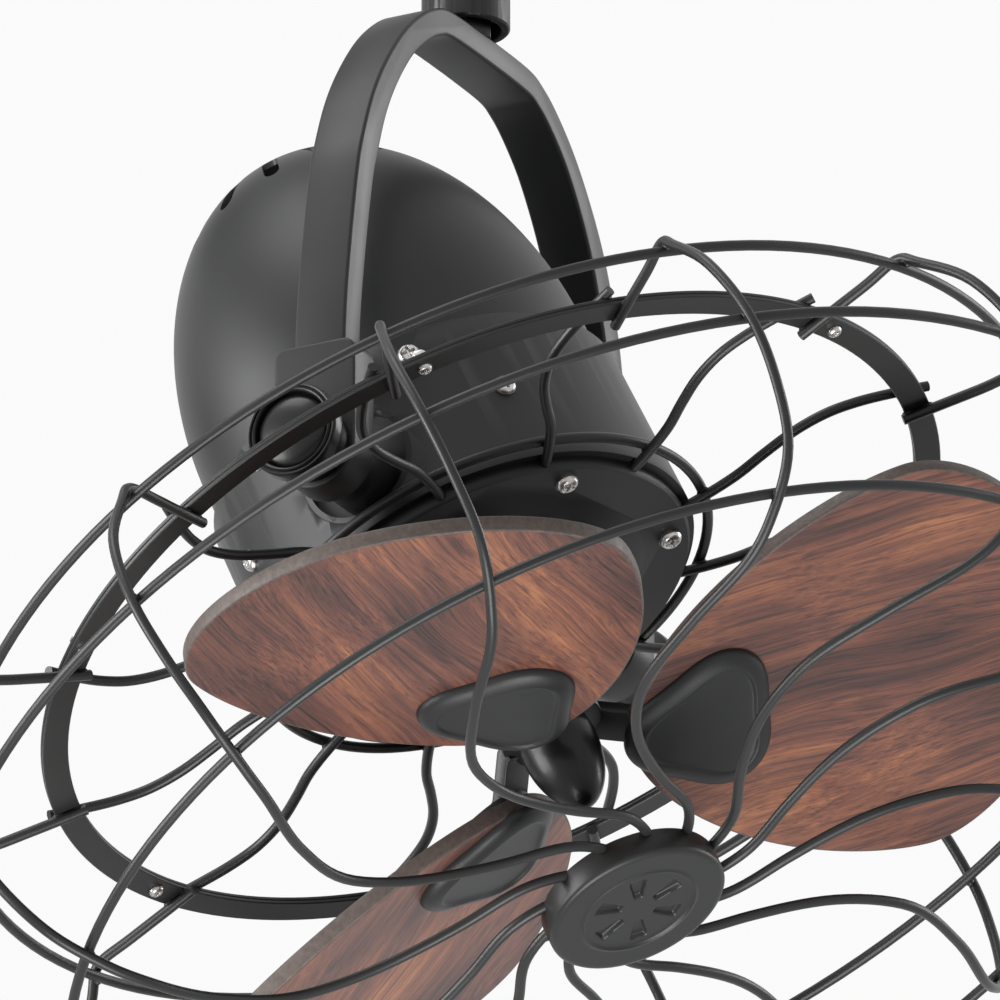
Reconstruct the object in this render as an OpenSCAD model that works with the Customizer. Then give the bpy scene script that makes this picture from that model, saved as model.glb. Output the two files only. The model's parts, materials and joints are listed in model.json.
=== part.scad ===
// Twin head ceiling fan: two caged fan heads on a carousel of two bent arms under a ceiling canopy.
// The ceiling is the plane z = 0 and everything hangs below it, with the downrod on the Z axis.
// Head A hangs on the +X arm and head B on the -X arm. Each head tilts in a stirrup shaped yoke.
// A head is drawn about its own tilt pivot with its air flow axis along -Z, then tilted outwards.
// All sizes are in millimetres and degrees.

/* [Overall layout] */
// Distance between the two swivel studs
head_spacing = 550; // [540:5:620]
// Tilt of each head from straight down
head_tilt = 24.9; // [0:0.1:60]

/* [Ceiling mount] */
// Outer diameter of the canopy
canopy_d = 150; // [140:1:170]
// Height of the canopy
canopy_h = 60; // [50:1:75]
// Wall of the canopy
canopy_wall = 1.5; // [1:0.1:2.5]
// Thickness of the ceiling bracket
bracket_t = 3; // [2.5:0.1:4]
// Width of the ceiling bracket
bracket_w = 40; // [34:1:50]
// Distance between the two ceiling screw slots
slot_spacing = 89; // [80:1:96]
// Length of each ceiling screw slot
slot_length = 12; // [8:0.5:14]
// Width of each ceiling screw slot
slot_width = 5.5; // [4.5:0.1:6.5]
// Outer diameter of the downrod
rod_d = 26.7; // [24:0.1:28]
// Wall of the downrod
rod_wall = 2.6; // [2:0.1:3.2]

/* [Carousel] */
// Outer diameter of the centre hub
hub_d = 112; // [100:1:130]
// Height of the arm centre line below the ceiling
arm_drop = 262; // [255:1:264]
// Wall of the hub shells
hub_wall = 3; // [2:0.1:4]
// Diameter of the axle the carousel turns on
axle_d = 20; // [16:0.5:21]
// Outer diameter of the arm tube
arm_d = 26; // [24:0.5:27]
// Wall of the arm tube
arm_wall = 2.5; // [1.5:0.1:2.8]
// Centre line radius of the arm bend
arm_bend = 58; // [45:1:80]
// Straight length of the arm tube below its bend
arm_tail = 44.5; // [40:0.5:90]
// Outer diameter of the stud socket
socket_d = 31.5; // [31:0.1:36]
// Diameter of the swivel stud
stud_d = 10; // [8:0.5:12]

/* [Yoke] */
// Height of the yoke top above the pivot
yoke_h = 196; // [192:1:204]
// Thickness of the yoke bar along its legs
yoke_t = 12; // [9:0.5:13]
// Thickness of the yoke bar across its top
yoke_top_t = 10; // [8:0.5:12]
// Width of the yoke bar
yoke_w = 20; // [16:0.5:26]
// Outer half width of the yoke at the pivot
yoke_half = 110; // [106:0.5:114]
// Width of the pad at each leg end
pad_w = 32; // [28:0.5:34]
// Diameter of the pivot boss
boss_d = 24; // [20:0.5:24]
// Diameter of the pivot bolt
bolt_d = 8; // [6:0.5:10]
// Diameter of the round pivot cap
cap_d = 35; // [33:0.5:37]

/* [Motor housing] */
// Outer diameter of the shroud at its front edge
shroud_d = 158; // [154:0.5:160]
// Outer diameter of the shroud at its rear edge
shroud_rear_d = 154.8; // [152:0.2:157]
// Wall of the shroud and the dome
housing_wall = 2; // [1.5:0.1:2.4]
// Distance of the shroud's rear edge behind the pivot
shroud_rear = 46.7; // [42:0.1:50]
// Outer diameter of the dome
dome_d = 146.4; // [142:0.2:148]
// Distance of the dome's top behind the pivot
dome_top = 174; // [165:0.5:180]
// Number of cooling slots in the dome
vent_count = 14; // [8:1:16]
// Diameter of the rotor shaft
shaft_d = 12; // [10:0.5:14]

/* [Guard] */
// Diameter of the guard wire
wire_d = 3.8; // [3.4:0.1:4.4]
// Number of wires in the front guard and in the rear guard
wire_count = 12; // [10:1:14]
// Outer radius of the flat bands where the two guards meet
band_r = 170.2; // [168:0.2:174]
// Width of the flat bands
band_w = 9.5; // [8:0.1:11]
// Thickness of each flat band
band_t = 1.6; // [1.2:0.1:2]
// Gap between the housing and the ring at the motor end of the rear guard
inner_ring_gap = 5.8; // [4.5:0.1:9]
// Radius of the guard where it is widest
guard_r = 236; // [225:1:245]
// Distance of the guard's flat face in front of the pivot
guard_face = 154; // [146:1:165]
// Diameter of the centre medallion
medallion_d = 66; // [60:1:72]
// Thickness of the centre medallion
medallion_t = 8; // [6:0.5:10]

/* [Blades] */
// Number of blades
blade_count = 3; // [3:1:4]
// Pitch of the blades
blade_pitch = 17.3; // [10:0.1:22]
// Thickness of a blade
blade_t = 6; // [4:0.5:8]
// Radius swept by the blade tips
blade_tip_r = 194.5; // [180:0.5:200]
// Half width of a blade
blade_half_w = 83; // [70:1:88]
// Height of a blade cap
cap_h = 5; // [4:0.5:7]
// Base diameter of the spinner
spinner_d = 28; // [24:0.5:32]

/* [Hidden] */
$fn = 64;
small_fn = 24;
// Clearances: a shaft in its bore, a bolt through a plain hole, two faces that pass each other
fit = 0.06;
screw_gap = 0.15;
face_gap = 0.3;
// How far welded wires bite into each other
weld = 0.3;
wire_r = wire_d / 2;
arm_r = arm_d / 2;
rod_r = rod_d / 2;
stud_x = head_spacing / 2;

// Colours of the finishes
black = [0.13, 0.13, 0.14];
dark = [0.09, 0.09, 0.10];
steel = [0.72, 0.72, 0.72];
walnut = [0.36, 0.20, 0.13];

// Ceiling mount
tab_h = 16;
tab_w = 24;
tab_out_r = canopy_d / 2 - canopy_wall - face_gap;
canopy_screw_z = -bracket_t - 9;
collar_d = rod_d + 16;
collar_h = 24;
rod_top = bracket_t + 3;
rod_bottom = arm_drop - 42;
canopy_neck_r = rod_r + 6;
canopy_side = 0.45;

// Carousel: the axle carries two bearings that the hub shells clamp
hub_half_h = 38;
hub_top = arm_drop - hub_half_h;
hub_bottom = arm_drop + hub_half_h;
bearing_h = 10;
bearing_r = axle_d / 2 + 9;
bearing_seat = hub_wall + 12;
bearing_top_z = -hub_top - bearing_seat;
bearing_low_z = -hub_bottom + bearing_seat - bearing_h + 8;
axle_nut_h = 7;
axle_plug = 28;
axle_end = -bearing_low_z + axle_nut_h + 4;
hub_corner = 14;
arm_end_z = -arm_drop - arm_bend - arm_tail;
socket_wall = 3;
socket_rim_z = arm_end_z - 9;
socket_top_z = arm_end_z + 22;
socket_screw_up = 4.5;
socket_screw_d = 5;
// The yoke's top hangs this far under the socket's rim, and the pivot hangs yoke_h under that
yoke_gap = 4.5;
pivot_z = socket_rim_z - yoke_gap - yoke_h;
recess_r = socket_d / 2 - 3;
stud_nut_h = 7.5;

// Yoke
pad_out = yoke_half + 3;
pad_top = 39;
pad_corner = 5;
scoop_r = 20;
scoop_back = 7;
scoop_floor = shroud_d / 2 - 7;
boss_end = scoop_floor + face_gap;
bolt_inner = scoop_floor - 14;

// Motor housing
plate_flange = 2.4;
shroud_front = 17;
plate_face = 24.2;
plate_r = shroud_d / 2 - 3;
dome_mid = 65;
core_gap = 9.4;
core_rear = 44;
core_flange = 6;
core_r = shroud_r(core_rear) - core_gap;
screw_ring_r = shroud_d / 2 - 11;
plate_boss_r = 15;
vent_w = 6;
vent_in_r = 32;
vent_out_r = 45;

// Guard
inner_ring_r = shroud_d / 2 + inner_ring_gap;
spoke_s = 21.5;
rear_band_s = spoke_s + wire_r - weld;
front_band_s = rear_band_s + band_t;
band_front = front_band_s + band_t;
tip_s = band_front + wire_r - weld;
band_mid_r = band_r - band_w / 2;
wire_phase = 12.5;
band_screw_phase = 51.35;

// Blades
blade_plane = 92.8;
blade_mid = 135;
blade_root = 111;
blade_phase = 34.35;
blade_cap_mid = 52.5;
pad_t = 3;
blade_screw_d = 4;
blade_screw_head = 7.4;
band_screw_d = 3;
band_screw_head = 5.4;
band_nut_d = 6.4;
band_nut_h = 2.6;
hub_rear = 74;
hub_front = 82;
hub_r = 19;
shaft_front = 98;
spinner_tip = 116;

// A smooth curve through a list of points with n steps between neighbours
function bend(a, b, c, d, t) =
    0.5 * (2 * b + (c - a) * t + (2 * a - 5 * b + 4 * c - d) * t * t + (3 * b - a - 3 * c + d) * t * t * t);
function curve(p, n) = concat(
    [for (i = [0:len(p) - 2], k = [0:n - 1])
        bend(p[max(i - 1, 0)], p[i], p[i + 1], p[min(i + 2, len(p) - 1)], k / n)],
    [p[len(p) - 1]]);
function unit(v) = v / norm(v);
function along(p, i) = unit(p[min(i + 1, len(p) - 1)] - p[max(i - 1, 0)]);
// A point from its radius, its distance in front of the pivot and its angle round the head axis
function spun(q) = [q[0] * cos(q[2]), q[0] * sin(q[2]), -q[1]];

// Front guard wire: share of the guard's radius, distance in front of the pivot, angle behind the medallion end
function guard_at(share, s, turn) = [guard_r * share, s, turn];
function side_s(share) = tip_s + (guard_face - tip_s) * share;
front_wire = [
    [medallion_d / 2 - 3, guard_face, -2],
    guard_at(0.1864, guard_face, 11.5),
    guard_at(0.2627, guard_face, 30),
    guard_at(0.3729, guard_face, 39.5),
    guard_at(0.5169, guard_face + 1.3, 40.5),
    guard_at(0.661, guard_face + 2.7, 34.5),
    guard_at(0.7797, guard_face + 1.8, 29),
    guard_at(0.8602, guard_face - 4.2, 26.5),
    guard_at(0.9407, side_s(0.8573), 24.8),
    guard_at(0.9873, side_s(0.6669), 24.5),
    guard_at(1, side_s(0.4607), 24.6),
    guard_at(0.9661, side_s(0.2308), 24.8),
    guard_at(0.8962, side_s(0.0563), 24.5),
    guard_at(0.8644, tip_s, 24.3),
    guard_at(0.7966, tip_s, 24.6),
    [band_r - band_w - 1.5, tip_s, 25.7]];
// Rear guard spoke: an S curve in one plane, from the bands at share 1 to the housing's plate at share 0
function spoke_at(share, angle) = [plate_r + (band_r - plate_r) * share, spoke_s, angle];
rear_spoke = [
    [band_r + 2, spoke_s, 15.8],
    spoke_at(0.908, 13.9),
    spoke_at(0.764, 11.5),
    spoke_at(0.637, 10.1),
    spoke_at(0.499, 10.2),
    spoke_at(0.361, 11.9),
    spoke_at(0.2335, 14.3),
    [inner_ring_r + 1, spoke_s, 15.9],
    [plate_r - 0.1, spoke_s, 16.8]];
// Where each round ring lies inside the front wires, as a place on the wire and its inward side
function wire_rs(t) = let (i = min(floor(t), len(front_wire) - 2), p = front_wire)
    bend(p[max(i - 1, 0)], p[i], p[i + 1], p[min(i + 2, len(p) - 1)], t - i);
function ring_at(t) = let (
        p = wire_rs(t),
        g = wire_rs(t + 0.02) - wire_rs(t - 0.02),
        n = unit([g[1], -g[0]]))
    [p[0] + n[0] * (wire_d - weld), p[1] + n[1] * (wire_d - weld)];
ring_places = [7.42, 10, 12.55];

// Half outline of the yoke's middle line: side, height
yoke_mid = [
    [0, yoke_h - yoke_top_t / 2],
    [28, yoke_h - yoke_top_t / 2 - 0.6],
    [38.4, yoke_h - 8.4],
    [48.5, yoke_h - 14.3],
    [61, yoke_h - 25],
    [yoke_half - 37, yoke_h - 40],
    [yoke_half - 28, yoke_h - 55],
    [yoke_half - 21.5, 125],
    [yoke_half - 16.5, 108.6],
    [yoke_half - 10.5, 75],
    [yoke_half - 7, 45],
    [yoke_half - yoke_t / 2, 0],
    [yoke_half - yoke_t / 2, -pad_w]];
// Thickness of the bar at a share of the way from its top to its leg's end
function yoke_bar(share) = yoke_top_t + (yoke_t - yoke_top_t) * max(0, min(1, (share - 0.33) / 0.25));

// ---------------------------------------------------------------- helpers

// Places a yoke: upright on the stud of one arm
module on_stud(side) {
    rotate([0, 0, side])
        translate([stud_x, 0, pivot_z])
            children();
}

// Places a head: tilted about its pivot
module in_head(side) {
    on_stud(side)
        rotate([0, -head_tilt, 0])
            children();
}

// A round wire swept along a path of points
module wire(path, sides = 6) {
    last = len(path) - 1;
    rings = [for (i = [0:last])
        let (
            t = along(path, i),
            round_dir = unit([-path[i][1], path[i][0], 0]),
            u = unit(cross(t, round_dir)),
            v = cross(t, u))
        for (k = [0:sides - 1])
            path[i] + wire_r * (cos(360 * k / sides) * u + sin(360 * k / sides) * v)];
    skin = [for (i = [0:last - 1], k = [0:sides - 1])
        let (a = i * sides + k, b = i * sides + (k + 1) % sides)
        each [[a, a + sides, b], [b, a + sides, b + sides]]];
    ends = [
        [for (k = [0:sides - 1]) k],
        [for (k = [sides - 1:-1:0]) last * sides + k]];
    polyhedron(rings, concat(skin, ends));
}

// A pan head screw along +Z: the head stands on z = 0 and the shank goes down
module pan_screw(head_d, head_h, shank_d, shank_l) {
    rotate_extrude($fn = small_fn)
        polygon([
            [0, -shank_l], [shank_d / 2, -shank_l], [shank_d / 2, 0], [head_d / 2, 0],
            [head_d / 2, head_h * 0.4], [head_d * 0.4, head_h * 0.8], [head_d * 0.22, head_h], [0, head_h]]);
}

// A flat ring
module ring(outer, inner, t) {
    difference() {
        cylinder(r = outer, h = t);
        translate([0, 0, -1])
            cylinder(r = inner, h = t + 2);
    }
}

// A wire ring round Z
module wire_ring(r, z) {
    translate([0, 0, z])
        rotate_extrude($fn = 72)
            translate([r, 0])
                circle(r = wire_r, $fn = 16);
}

// Turns children round Z
module spread(count, phase = 0) {
    for (i = [0:count - 1])
        rotate([0, 0, phase + i * 360 / count])
            children();
}

// ---------------------------------------------------------------- ceiling mount

module bracket() {
    color(steel)
    difference() {
        union() {
            intersection() {
                union() {
                    translate([-canopy_d / 2, -bracket_w / 2, -bracket_t])
                        cube([canopy_d, bracket_w, bracket_t]);
                    for (m = [0, 1])
                        mirror([m, 0, 0])
                            translate([tab_out_r - 6, -tab_w / 2, -bracket_t - tab_h])
                                cube([8, tab_w, tab_h + 1]);
                }
                translate([0, 0, -50])
                    cylinder(r = tab_out_r, h = 60);
            }
            translate([0, 0, -bracket_t - collar_h])
                cylinder(d = collar_d, h = collar_h + 1);
        }
        translate([0, 0, -bracket_t - collar_h - 1])
            cylinder(d = rod_d, h = collar_h + bracket_t - rod_top + 1);
        translate([0, 0, -collar_h])
            cylinder(r = rod_r - rod_wall, h = collar_h + 1);
        for (m = [0, 1])
            mirror([m, 0, 0]) {
                for (e = [-1, 1])
                    translate([slot_spacing / 2 + e * (slot_length - slot_width) / 2, 0, -bracket_t - 1])
                        cylinder(d = slot_width, h = bracket_t + 2, $fn = small_fn);
                translate([slot_spacing / 2 - (slot_length - slot_width) / 2, -slot_width / 2, -bracket_t - 1])
                    cube([slot_length - slot_width, slot_width, bracket_t + 2]);
                translate([0, 0, canopy_screw_z])
                    rotate([0, 90, 0])
                        cylinder(d = 4 + 2 * screw_gap, h = canopy_d, $fn = small_fn);
            }
    }
}

// Section of the canopy: straight rim, round shoulder, narrow neck
function canopy_out(in) = concat(
    [[canopy_d / 2 - in, -face_gap]],
    [for (k = [0:8]) let (w = 90 * k / 8)
        [canopy_neck_r + (canopy_d / 2 - canopy_neck_r - in) * cos(w),
         -canopy_h * canopy_side - (canopy_h * (1 - canopy_side) - in) * sin(w)]]);

module canopy() {
    outer = canopy_out(0);
    inner = canopy_out(canopy_wall);
    color(black)
    difference() {
        rotate_extrude($fn = 96)
            polygon(concat(outer, [[rod_r + 1, -canopy_h], [rod_r + 1, -canopy_h + canopy_wall]],
                [for (k = [len(inner) - 1:-1:0]) inner[k]]));
        translate([-canopy_d, 0, canopy_screw_z])
            rotate([0, 90, 0])
                cylinder(d = 4 + 2 * screw_gap, h = 2 * canopy_d, $fn = small_fn);
    }
}

module canopy_screws() {
    color(steel)
    for (side = [0, 180])
        rotate([0, 0, side])
            translate([canopy_d / 2 + screw_gap, 0, canopy_screw_z])
                rotate([0, 90, 0])
                    pan_screw(8.5, 3, 4, 11);
}

module downrod() {
    color(black)
    translate([0, 0, -rod_bottom])
        ring(rod_r, rod_r - rod_wall, rod_bottom - rod_top);
}

module axle() {
    color(steel)
    difference() {
        rotate_extrude($fn = 48)
            polygon([
                [0, -rod_bottom + axle_plug], [rod_r - rod_wall, -rod_bottom + axle_plug], [rod_r - rod_wall, -rod_bottom],
                [rod_r + 2, -rod_bottom], [rod_r + 2, bearing_top_z + bearing_h + 4],
                [axle_d / 2 + 3, bearing_top_z + bearing_h + face_gap],
                [axle_d / 2, bearing_top_z + bearing_h + face_gap],
                [axle_d / 2, bearing_low_z - face_gap],
                [axle_d / 2 + 6, bearing_low_z - face_gap],
                [axle_d / 2 + 6, bearing_low_z - face_gap - axle_nut_h],
                [axle_d / 2 - 1, bearing_low_z - face_gap - axle_nut_h],
                [axle_d / 2 - 1, -axle_end], [0, -axle_end]]);
        translate([0, 0, -axle_end - 1])
            cylinder(d = axle_d - 9, h = axle_end + 1);
    }
}

// ---------------------------------------------------------------- carousel

// Half of the hub: a round shell with a bearing seat and half round notches for the arms
module hub_shell(top) {
    far = top ? -hub_top : -hub_bottom;
    dir = top ? -1 : 1;
    seat_z = top ? bearing_top_z : bearing_low_z;
    open_r = top ? rod_r + 4 : axle_d / 2 + 7;
    difference() {
        union() {
            difference() {
                rotate_extrude($fn = 96)
                    polygon(concat(
                        [[0, -arm_drop]],
                        [[hub_d / 2, -arm_drop]],
                        [for (k = [0:6]) let (w = 90 * k / 6)
                            [hub_d / 2 - hub_corner + hub_corner * cos(w),
                             far + dir * hub_corner - dir * hub_corner * sin(w)]],
                        [[0, far]]));
                translate([0, 0, min(far + dir * hub_wall, -arm_drop - dir)])
                    cylinder(r = hub_d / 2 - hub_wall, h = abs(far + arm_drop) - hub_wall + 1);
            }
            translate([0, 0, top ? seat_z - hub_wall : far + 0.5])
                cylinder(r = bearing_r + 4, h = top ? -hub_top - seat_z + hub_wall - 0.5
                    : seat_z + bearing_h - far - 0.5);
            for (m = [0, 1])
                mirror([m, 0, 0])
                    translate([bearing_r + 3, -arm_r - 3, top ? -arm_drop : far + 1])
                        cube([hub_d / 2 - bearing_r - 5, arm_d + 6, abs(far + arm_drop) - 1]);
        }
        translate([0, 0, seat_z])
            cylinder(r = bearing_r, h = bearing_h + (top ? 0 : 100));
        translate([0, 0, -hub_bottom - 1])
            cylinder(r = open_r, h = hub_bottom - hub_top + 2);
        for (m = [0, 1])
            mirror([m, 0, 0])
                translate([bearing_r + 2, 0, -arm_drop])
                    rotate([0, 90, 0])
                        cylinder(r = arm_r, h = hub_d);
    }
}

module hub_upper() {
    color(black)
        hub_shell(true);
}

module hub_lower() {
    color(black)
        hub_shell(false);
}

module hub_bearings() {
    color(steel)
    for (z = [bearing_top_z, bearing_low_z])
        translate([0, 0, z])
            ring(bearing_r, axle_d / 2 + fit, bearing_h);
}

// A bent tube from the hub, out and down to the socket
module arm(side) {
    start = bearing_r + 8;
    turn_x = stud_x - arm_bend;
    color(black)
    rotate([0, 0, side])
        difference() {
            arm_solid(arm_r, start, turn_x, 0);
            arm_solid(arm_r - arm_wall, start, turn_x, 1);
        }
}

module arm_solid(r, start, turn_x, extra) {
    translate([start - extra, 0, -arm_drop])
        rotate([0, 90, 0])
            cylinder(r = r, h = turn_x - start + extra);
    translate([turn_x, 0, -arm_drop - arm_bend])
        rotate([90, 0, 0])
            rotate_extrude(angle = 90)
                translate([arm_bend, 0])
                    circle(r = r);
    translate([stud_x, 0, arm_end_z - extra])
        cylinder(r = r, h = -arm_drop - arm_bend - arm_end_z + extra);
}

module arm_a() {
    arm(0);
}

module arm_b() {
    arm(180);
}

// Cup at the arm's end: arm bore above, a floor for the stud, an open recess below
module socket(side) {
    floor_z = arm_end_z - socket_wall;
    color(black)
    rotate([0, 0, side])
        translate([stud_x, 0, 0])
            difference() {
                rotate_extrude($fn = 64)
                    polygon([
                        [0, socket_rim_z], [socket_d / 2 - 0.6, socket_rim_z],
                        [socket_d / 2, socket_rim_z + 0.6], [socket_d / 2, socket_top_z - 2],
                        [socket_d / 2 - 2, socket_top_z], [0, socket_top_z]]);
                translate([0, 0, arm_end_z])
                    cylinder(r = arm_r, h = socket_top_z - arm_end_z + 1);
                translate([0, 0, socket_rim_z - 1])
                    cylinder(r = recess_r, h = floor_z - socket_rim_z + 1);
                translate([0, 0, socket_rim_z - 1])
                    cylinder(r = stud_d / 2 + fit, h = 30);
                translate([0, 0, arm_end_z + socket_screw_up])
                    rotate([0, 90, 0])
                        cylinder(d = socket_screw_d + 2 * fit, h = socket_d, $fn = small_fn);
            }
}

module socket_a() {
    socket(0);
}

module socket_b() {
    socket(180);
}

// Grub screws that lock the sockets on the arms
module socket_screws() {
    color(dark)
    for (side = [0, 180])
        rotate([0, 0, side])
            translate([stud_x + arm_r, 0, arm_end_z + socket_screw_up])
                rotate([0, 90, 0])
                    difference() {
                        cylinder(d = socket_screw_d, h = socket_d / 2 - arm_r + 1.5, $fn = small_fn);
                        translate([0, 0, socket_d / 2 - arm_r - 1])
                            cylinder(d = 2.6, h = 5, $fn = 6);
                    }
}

// ---------------------------------------------------------------- yoke

// Stirrup: one bent bar cut from its side profile and its face outline
module yoke(side) {
    half = curve(yoke_mid, 4);
    edge = [for (i = [0:len(half) - 1])
        let (t = i == 0 ? [1, 0] : along(half, i))
        [t[1], -t[0]] * yoke_bar(i / (len(half) - 1)) / 2];
    outer = [for (i = [0:len(half) - 1]) half[i] - edge[i]];
    inner = [for (i = [0:len(half) - 1]) half[i] + edge[i]];
    last = len(half) - 1;
    profile = concat(
        outer,
        [for (i = [last:-1:0]) inner[i]],
        [for (i = [1:last]) [-inner[i][0], inner[i][1]]],
        [for (i = [last:-1:1]) [-outer[i][0], outer[i][1]]]);
    color(black)
    on_stud(side)
        difference() {
            union() {
                intersection() {
                    rotate([90, 0, 90])
                        linear_extrude(pad_w + 2, center = true)
                            polygon(profile);
                    yoke_face();
                }
                for (m = [0, 1])
                    mirror([0, m, 0]) {
                        translate([0, (pad_out + yoke_half - yoke_t) / 2, 0])
                            rotate([90, 0, 0])
                                linear_extrude(pad_out - yoke_half + yoke_t, center = true)
                                    pad_face();
                        translate([0, boss_end, 0])
                            rotate([-90, 0, 0])
                                cylinder(d = boss_d, h = pad_out - boss_end);
                    }
            }
            translate([0, yoke_half + 20, 0])
                rotate([90, 0, 0])
                    cylinder(d = bolt_d + 2 * screw_gap, h = 2 * yoke_half + 40);
            translate([0, 0, yoke_h - 2 * yoke_t])
                cylinder(d = stud_d + 2 * screw_gap, h = 3 * yoke_t);
        }
}

// What the yoke's bar looks like from its broad side
module yoke_face() {
    rotate([90, 0, 0])
        linear_extrude(3 * yoke_half, center = true) {
            translate([-yoke_w / 2, 0])
                square([yoke_w, yoke_h + 1]);
            circle(d = yoke_w);
        }
}

// Outline of the thick plate at each leg's end: round below, with two rounded corners above
module pad_face() {
    hull() {
        circle(d = pad_w);
        for (e = [-1, 1])
            translate([e * (pad_w / 2 - pad_corner), pad_top - pad_corner])
                circle(r = pad_corner);
    }
}

// Stud with a hex nut inside the arm and a collar on the yoke; it ends flush with the yoke's underside
module stud(side) {
    top_z = arm_end_z - pivot_z;
    color(dark)
    on_stud(side) {
        translate([0, 0, yoke_h - yoke_top_t])
            cylinder(d = stud_d, h = top_z + stud_nut_h + 3 - yoke_h + yoke_top_t);
        translate([0, 0, yoke_h])
            cylinder(d = 20, h = top_z - socket_wall - face_gap - yoke_h, $fn = 6);
        translate([0, 0, top_z + face_gap])
            cylinder(d = 18, h = stud_nut_h, $fn = 6);
    }
}

module pivot_bolts(side) {
    color(steel)
    on_stud(side)
        for (m = [0, 1])
            mirror([0, m, 0])
                translate([0, bolt_inner, 0])
                    rotate([-90, 0, 0]) {
                        cylinder(d = bolt_d, h = pad_out - bolt_inner + 1, $fn = 32);
                        translate([0, 0, pad_out - bolt_inner])
                            cylinder(d = 14, h = 5.5, $fn = 6);
                    }
}

// Round knobs over the bolt heads: a neck, a wide rim with a step, and a shallow crown
module pivot_caps(side) {
    cap_r = cap_d / 2;
    color(dark)
    on_stud(side)
        for (m = [0, 1])
            mirror([0, m, 0])
                translate([0, pad_out, 0])
                    rotate([-90, 0, 0])
                        rotate_extrude()
                            polygon(concat(
                                [[10, 0], [cap_r - 3.6, 0], [cap_r - 3.6, 7], [cap_r, 11], [cap_r, 16.4],
                                 [cap_r - 0.6, 17.2], [cap_r - 1.3, 17.2], [cap_r - 1.6, 16.6],
                                 [cap_r - 2.4, 17.8], [cap_r - 3.1, 17.8]],
                                [for (k = [0:5]) [(cap_r - 3.6) * cos(18 * k), 17.2 + 1.8 * sin(18 * k)]],
                                [[0, 7.5], [10, 7.5]]));
}

module yoke_a() {
    yoke(0);
}

module yoke_b() {
    yoke(180);
}

module stud_a() {
    stud(0);
}

module stud_b() {
    stud(180);
}

module pivot_bolts_a() {
    pivot_bolts(0);
}

module pivot_bolts_b() {
    pivot_bolts(180);
}

module pivot_caps_a() {
    pivot_caps(0);
}

module pivot_caps_b() {
    pivot_caps(180);
}

// ---------------------------------------------------------------- motor housing

// Rear dome: a short straight wall, then half an ellipsoid with a ring of cooling slots
module dome(side) {
    r = dome_d / 2;
    deep = dome_top - dome_mid;
    in_r = r - housing_wall;
    in_deep = deep - housing_wall;
    steps = 14;
    color(black)
    in_head(side)
        difference() {
            rotate_extrude($fn = 96)
                polygon(concat(
                    [[r, shroud_rear]],
                    [for (k = [0:steps]) [r * cos(90 * k / steps), dome_mid + deep * sin(90 * k / steps)]],
                    [for (k = [steps:-1:0])
                        [in_r * cos(90 * k / steps), dome_mid + in_deep * sin(90 * k / steps)]],
                    [[in_r, shroud_rear]]));
            spread(vent_count)
                vent_slot();
        }
}

// One cooling slot: rounded, radial, cut straight down into the crown of the dome
module vent_slot() {
    for (r = [vent_in_r, vent_out_r])
        translate([r, 0, dome_mid])
            cylinder(d = vent_w, h = dome_top, $fn = small_fn);
    translate([vent_in_r, -vent_w / 2, dome_mid])
        cube([vent_out_r - vent_in_r, vent_w, dome_top]);
}

// Shroud: slightly conical band with a rear lip and two round scoops for the pivots
module shroud(side) {
    front_r = shroud_d / 2;
    rear_r = shroud_rear_d / 2;
    lip_r = dome_d / 2 - housing_wall - 3;
    color(black)
    in_head(side)
        difference() {
            union() {
                difference() {
                    rotate_extrude($fn = 96)
                        polygon([
                            [front_r, -shroud_front], [rear_r, shroud_rear - 1], [rear_r - 1, shroud_rear],
                            [lip_r, shroud_rear], [lip_r, shroud_rear - housing_wall],
                            [rear_r - housing_wall, shroud_rear - housing_wall],
                            [front_r - housing_wall, -shroud_front]]);
                    scoop(front_r, 0);
                }
                intersection() {
                    scoop(front_r, -housing_wall);
                    translate([0, 0, -shroud_front])
                        cylinder(r1 = front_r, r2 = rear_r, h = shroud_front + shroud_rear);
                }
            }
            scoop(front_r, 0);
            rotate([90, 0, 0])
                cylinder(d = bolt_d + 12, h = 2 * front_r, center = true);
            shroud_screw_places(-housing_wall)
                translate([0, 0, -5])
                    cylinder(d = 4 + 2 * screw_gap, h = 12, $fn = small_fn);
        }
}

// Pocket in both sides of the shroud; grow < 0 gives the solid that the pocket's walls are cut from
module scoop(front_r, grow) {
    for (m = [0, 1])
        mirror([0, m, 0])
            translate([0, scoop_floor + grow, scoop_back])
                rotate([-90, 0, 0])
                    cylinder(r = scoop_r - grow, h = front_r);
}

// Outer radius of the shroud at a height above the pivot
function shroud_r(z) = shroud_d / 2
    - (shroud_d - shroud_rear_d) / 2 * (z + shroud_front) / (shroud_rear - 1 + shroud_front);

// The eight steel screws round the shroud, drawn along +Z with z = 0 a little off its face
module shroud_screw_places(off) {
    for (spot = [[45, 12.7], [135, 12.7], [64.65, 36.5], [115.35, 36.5]], m = [0, 1])
        mirror([0, m, 0])
            rotate([0, 0, spot[0]])
                translate([shroud_r(spot[1]) + off, 0, spot[1]])
                    rotate([0, 90, 0])
                        children();
}

module plate_screw_places() {
    spread(6, -35)
        translate([screw_ring_r, 0, -plate_face])
            rotate([180, 0, 0])
                children();
}

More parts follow.
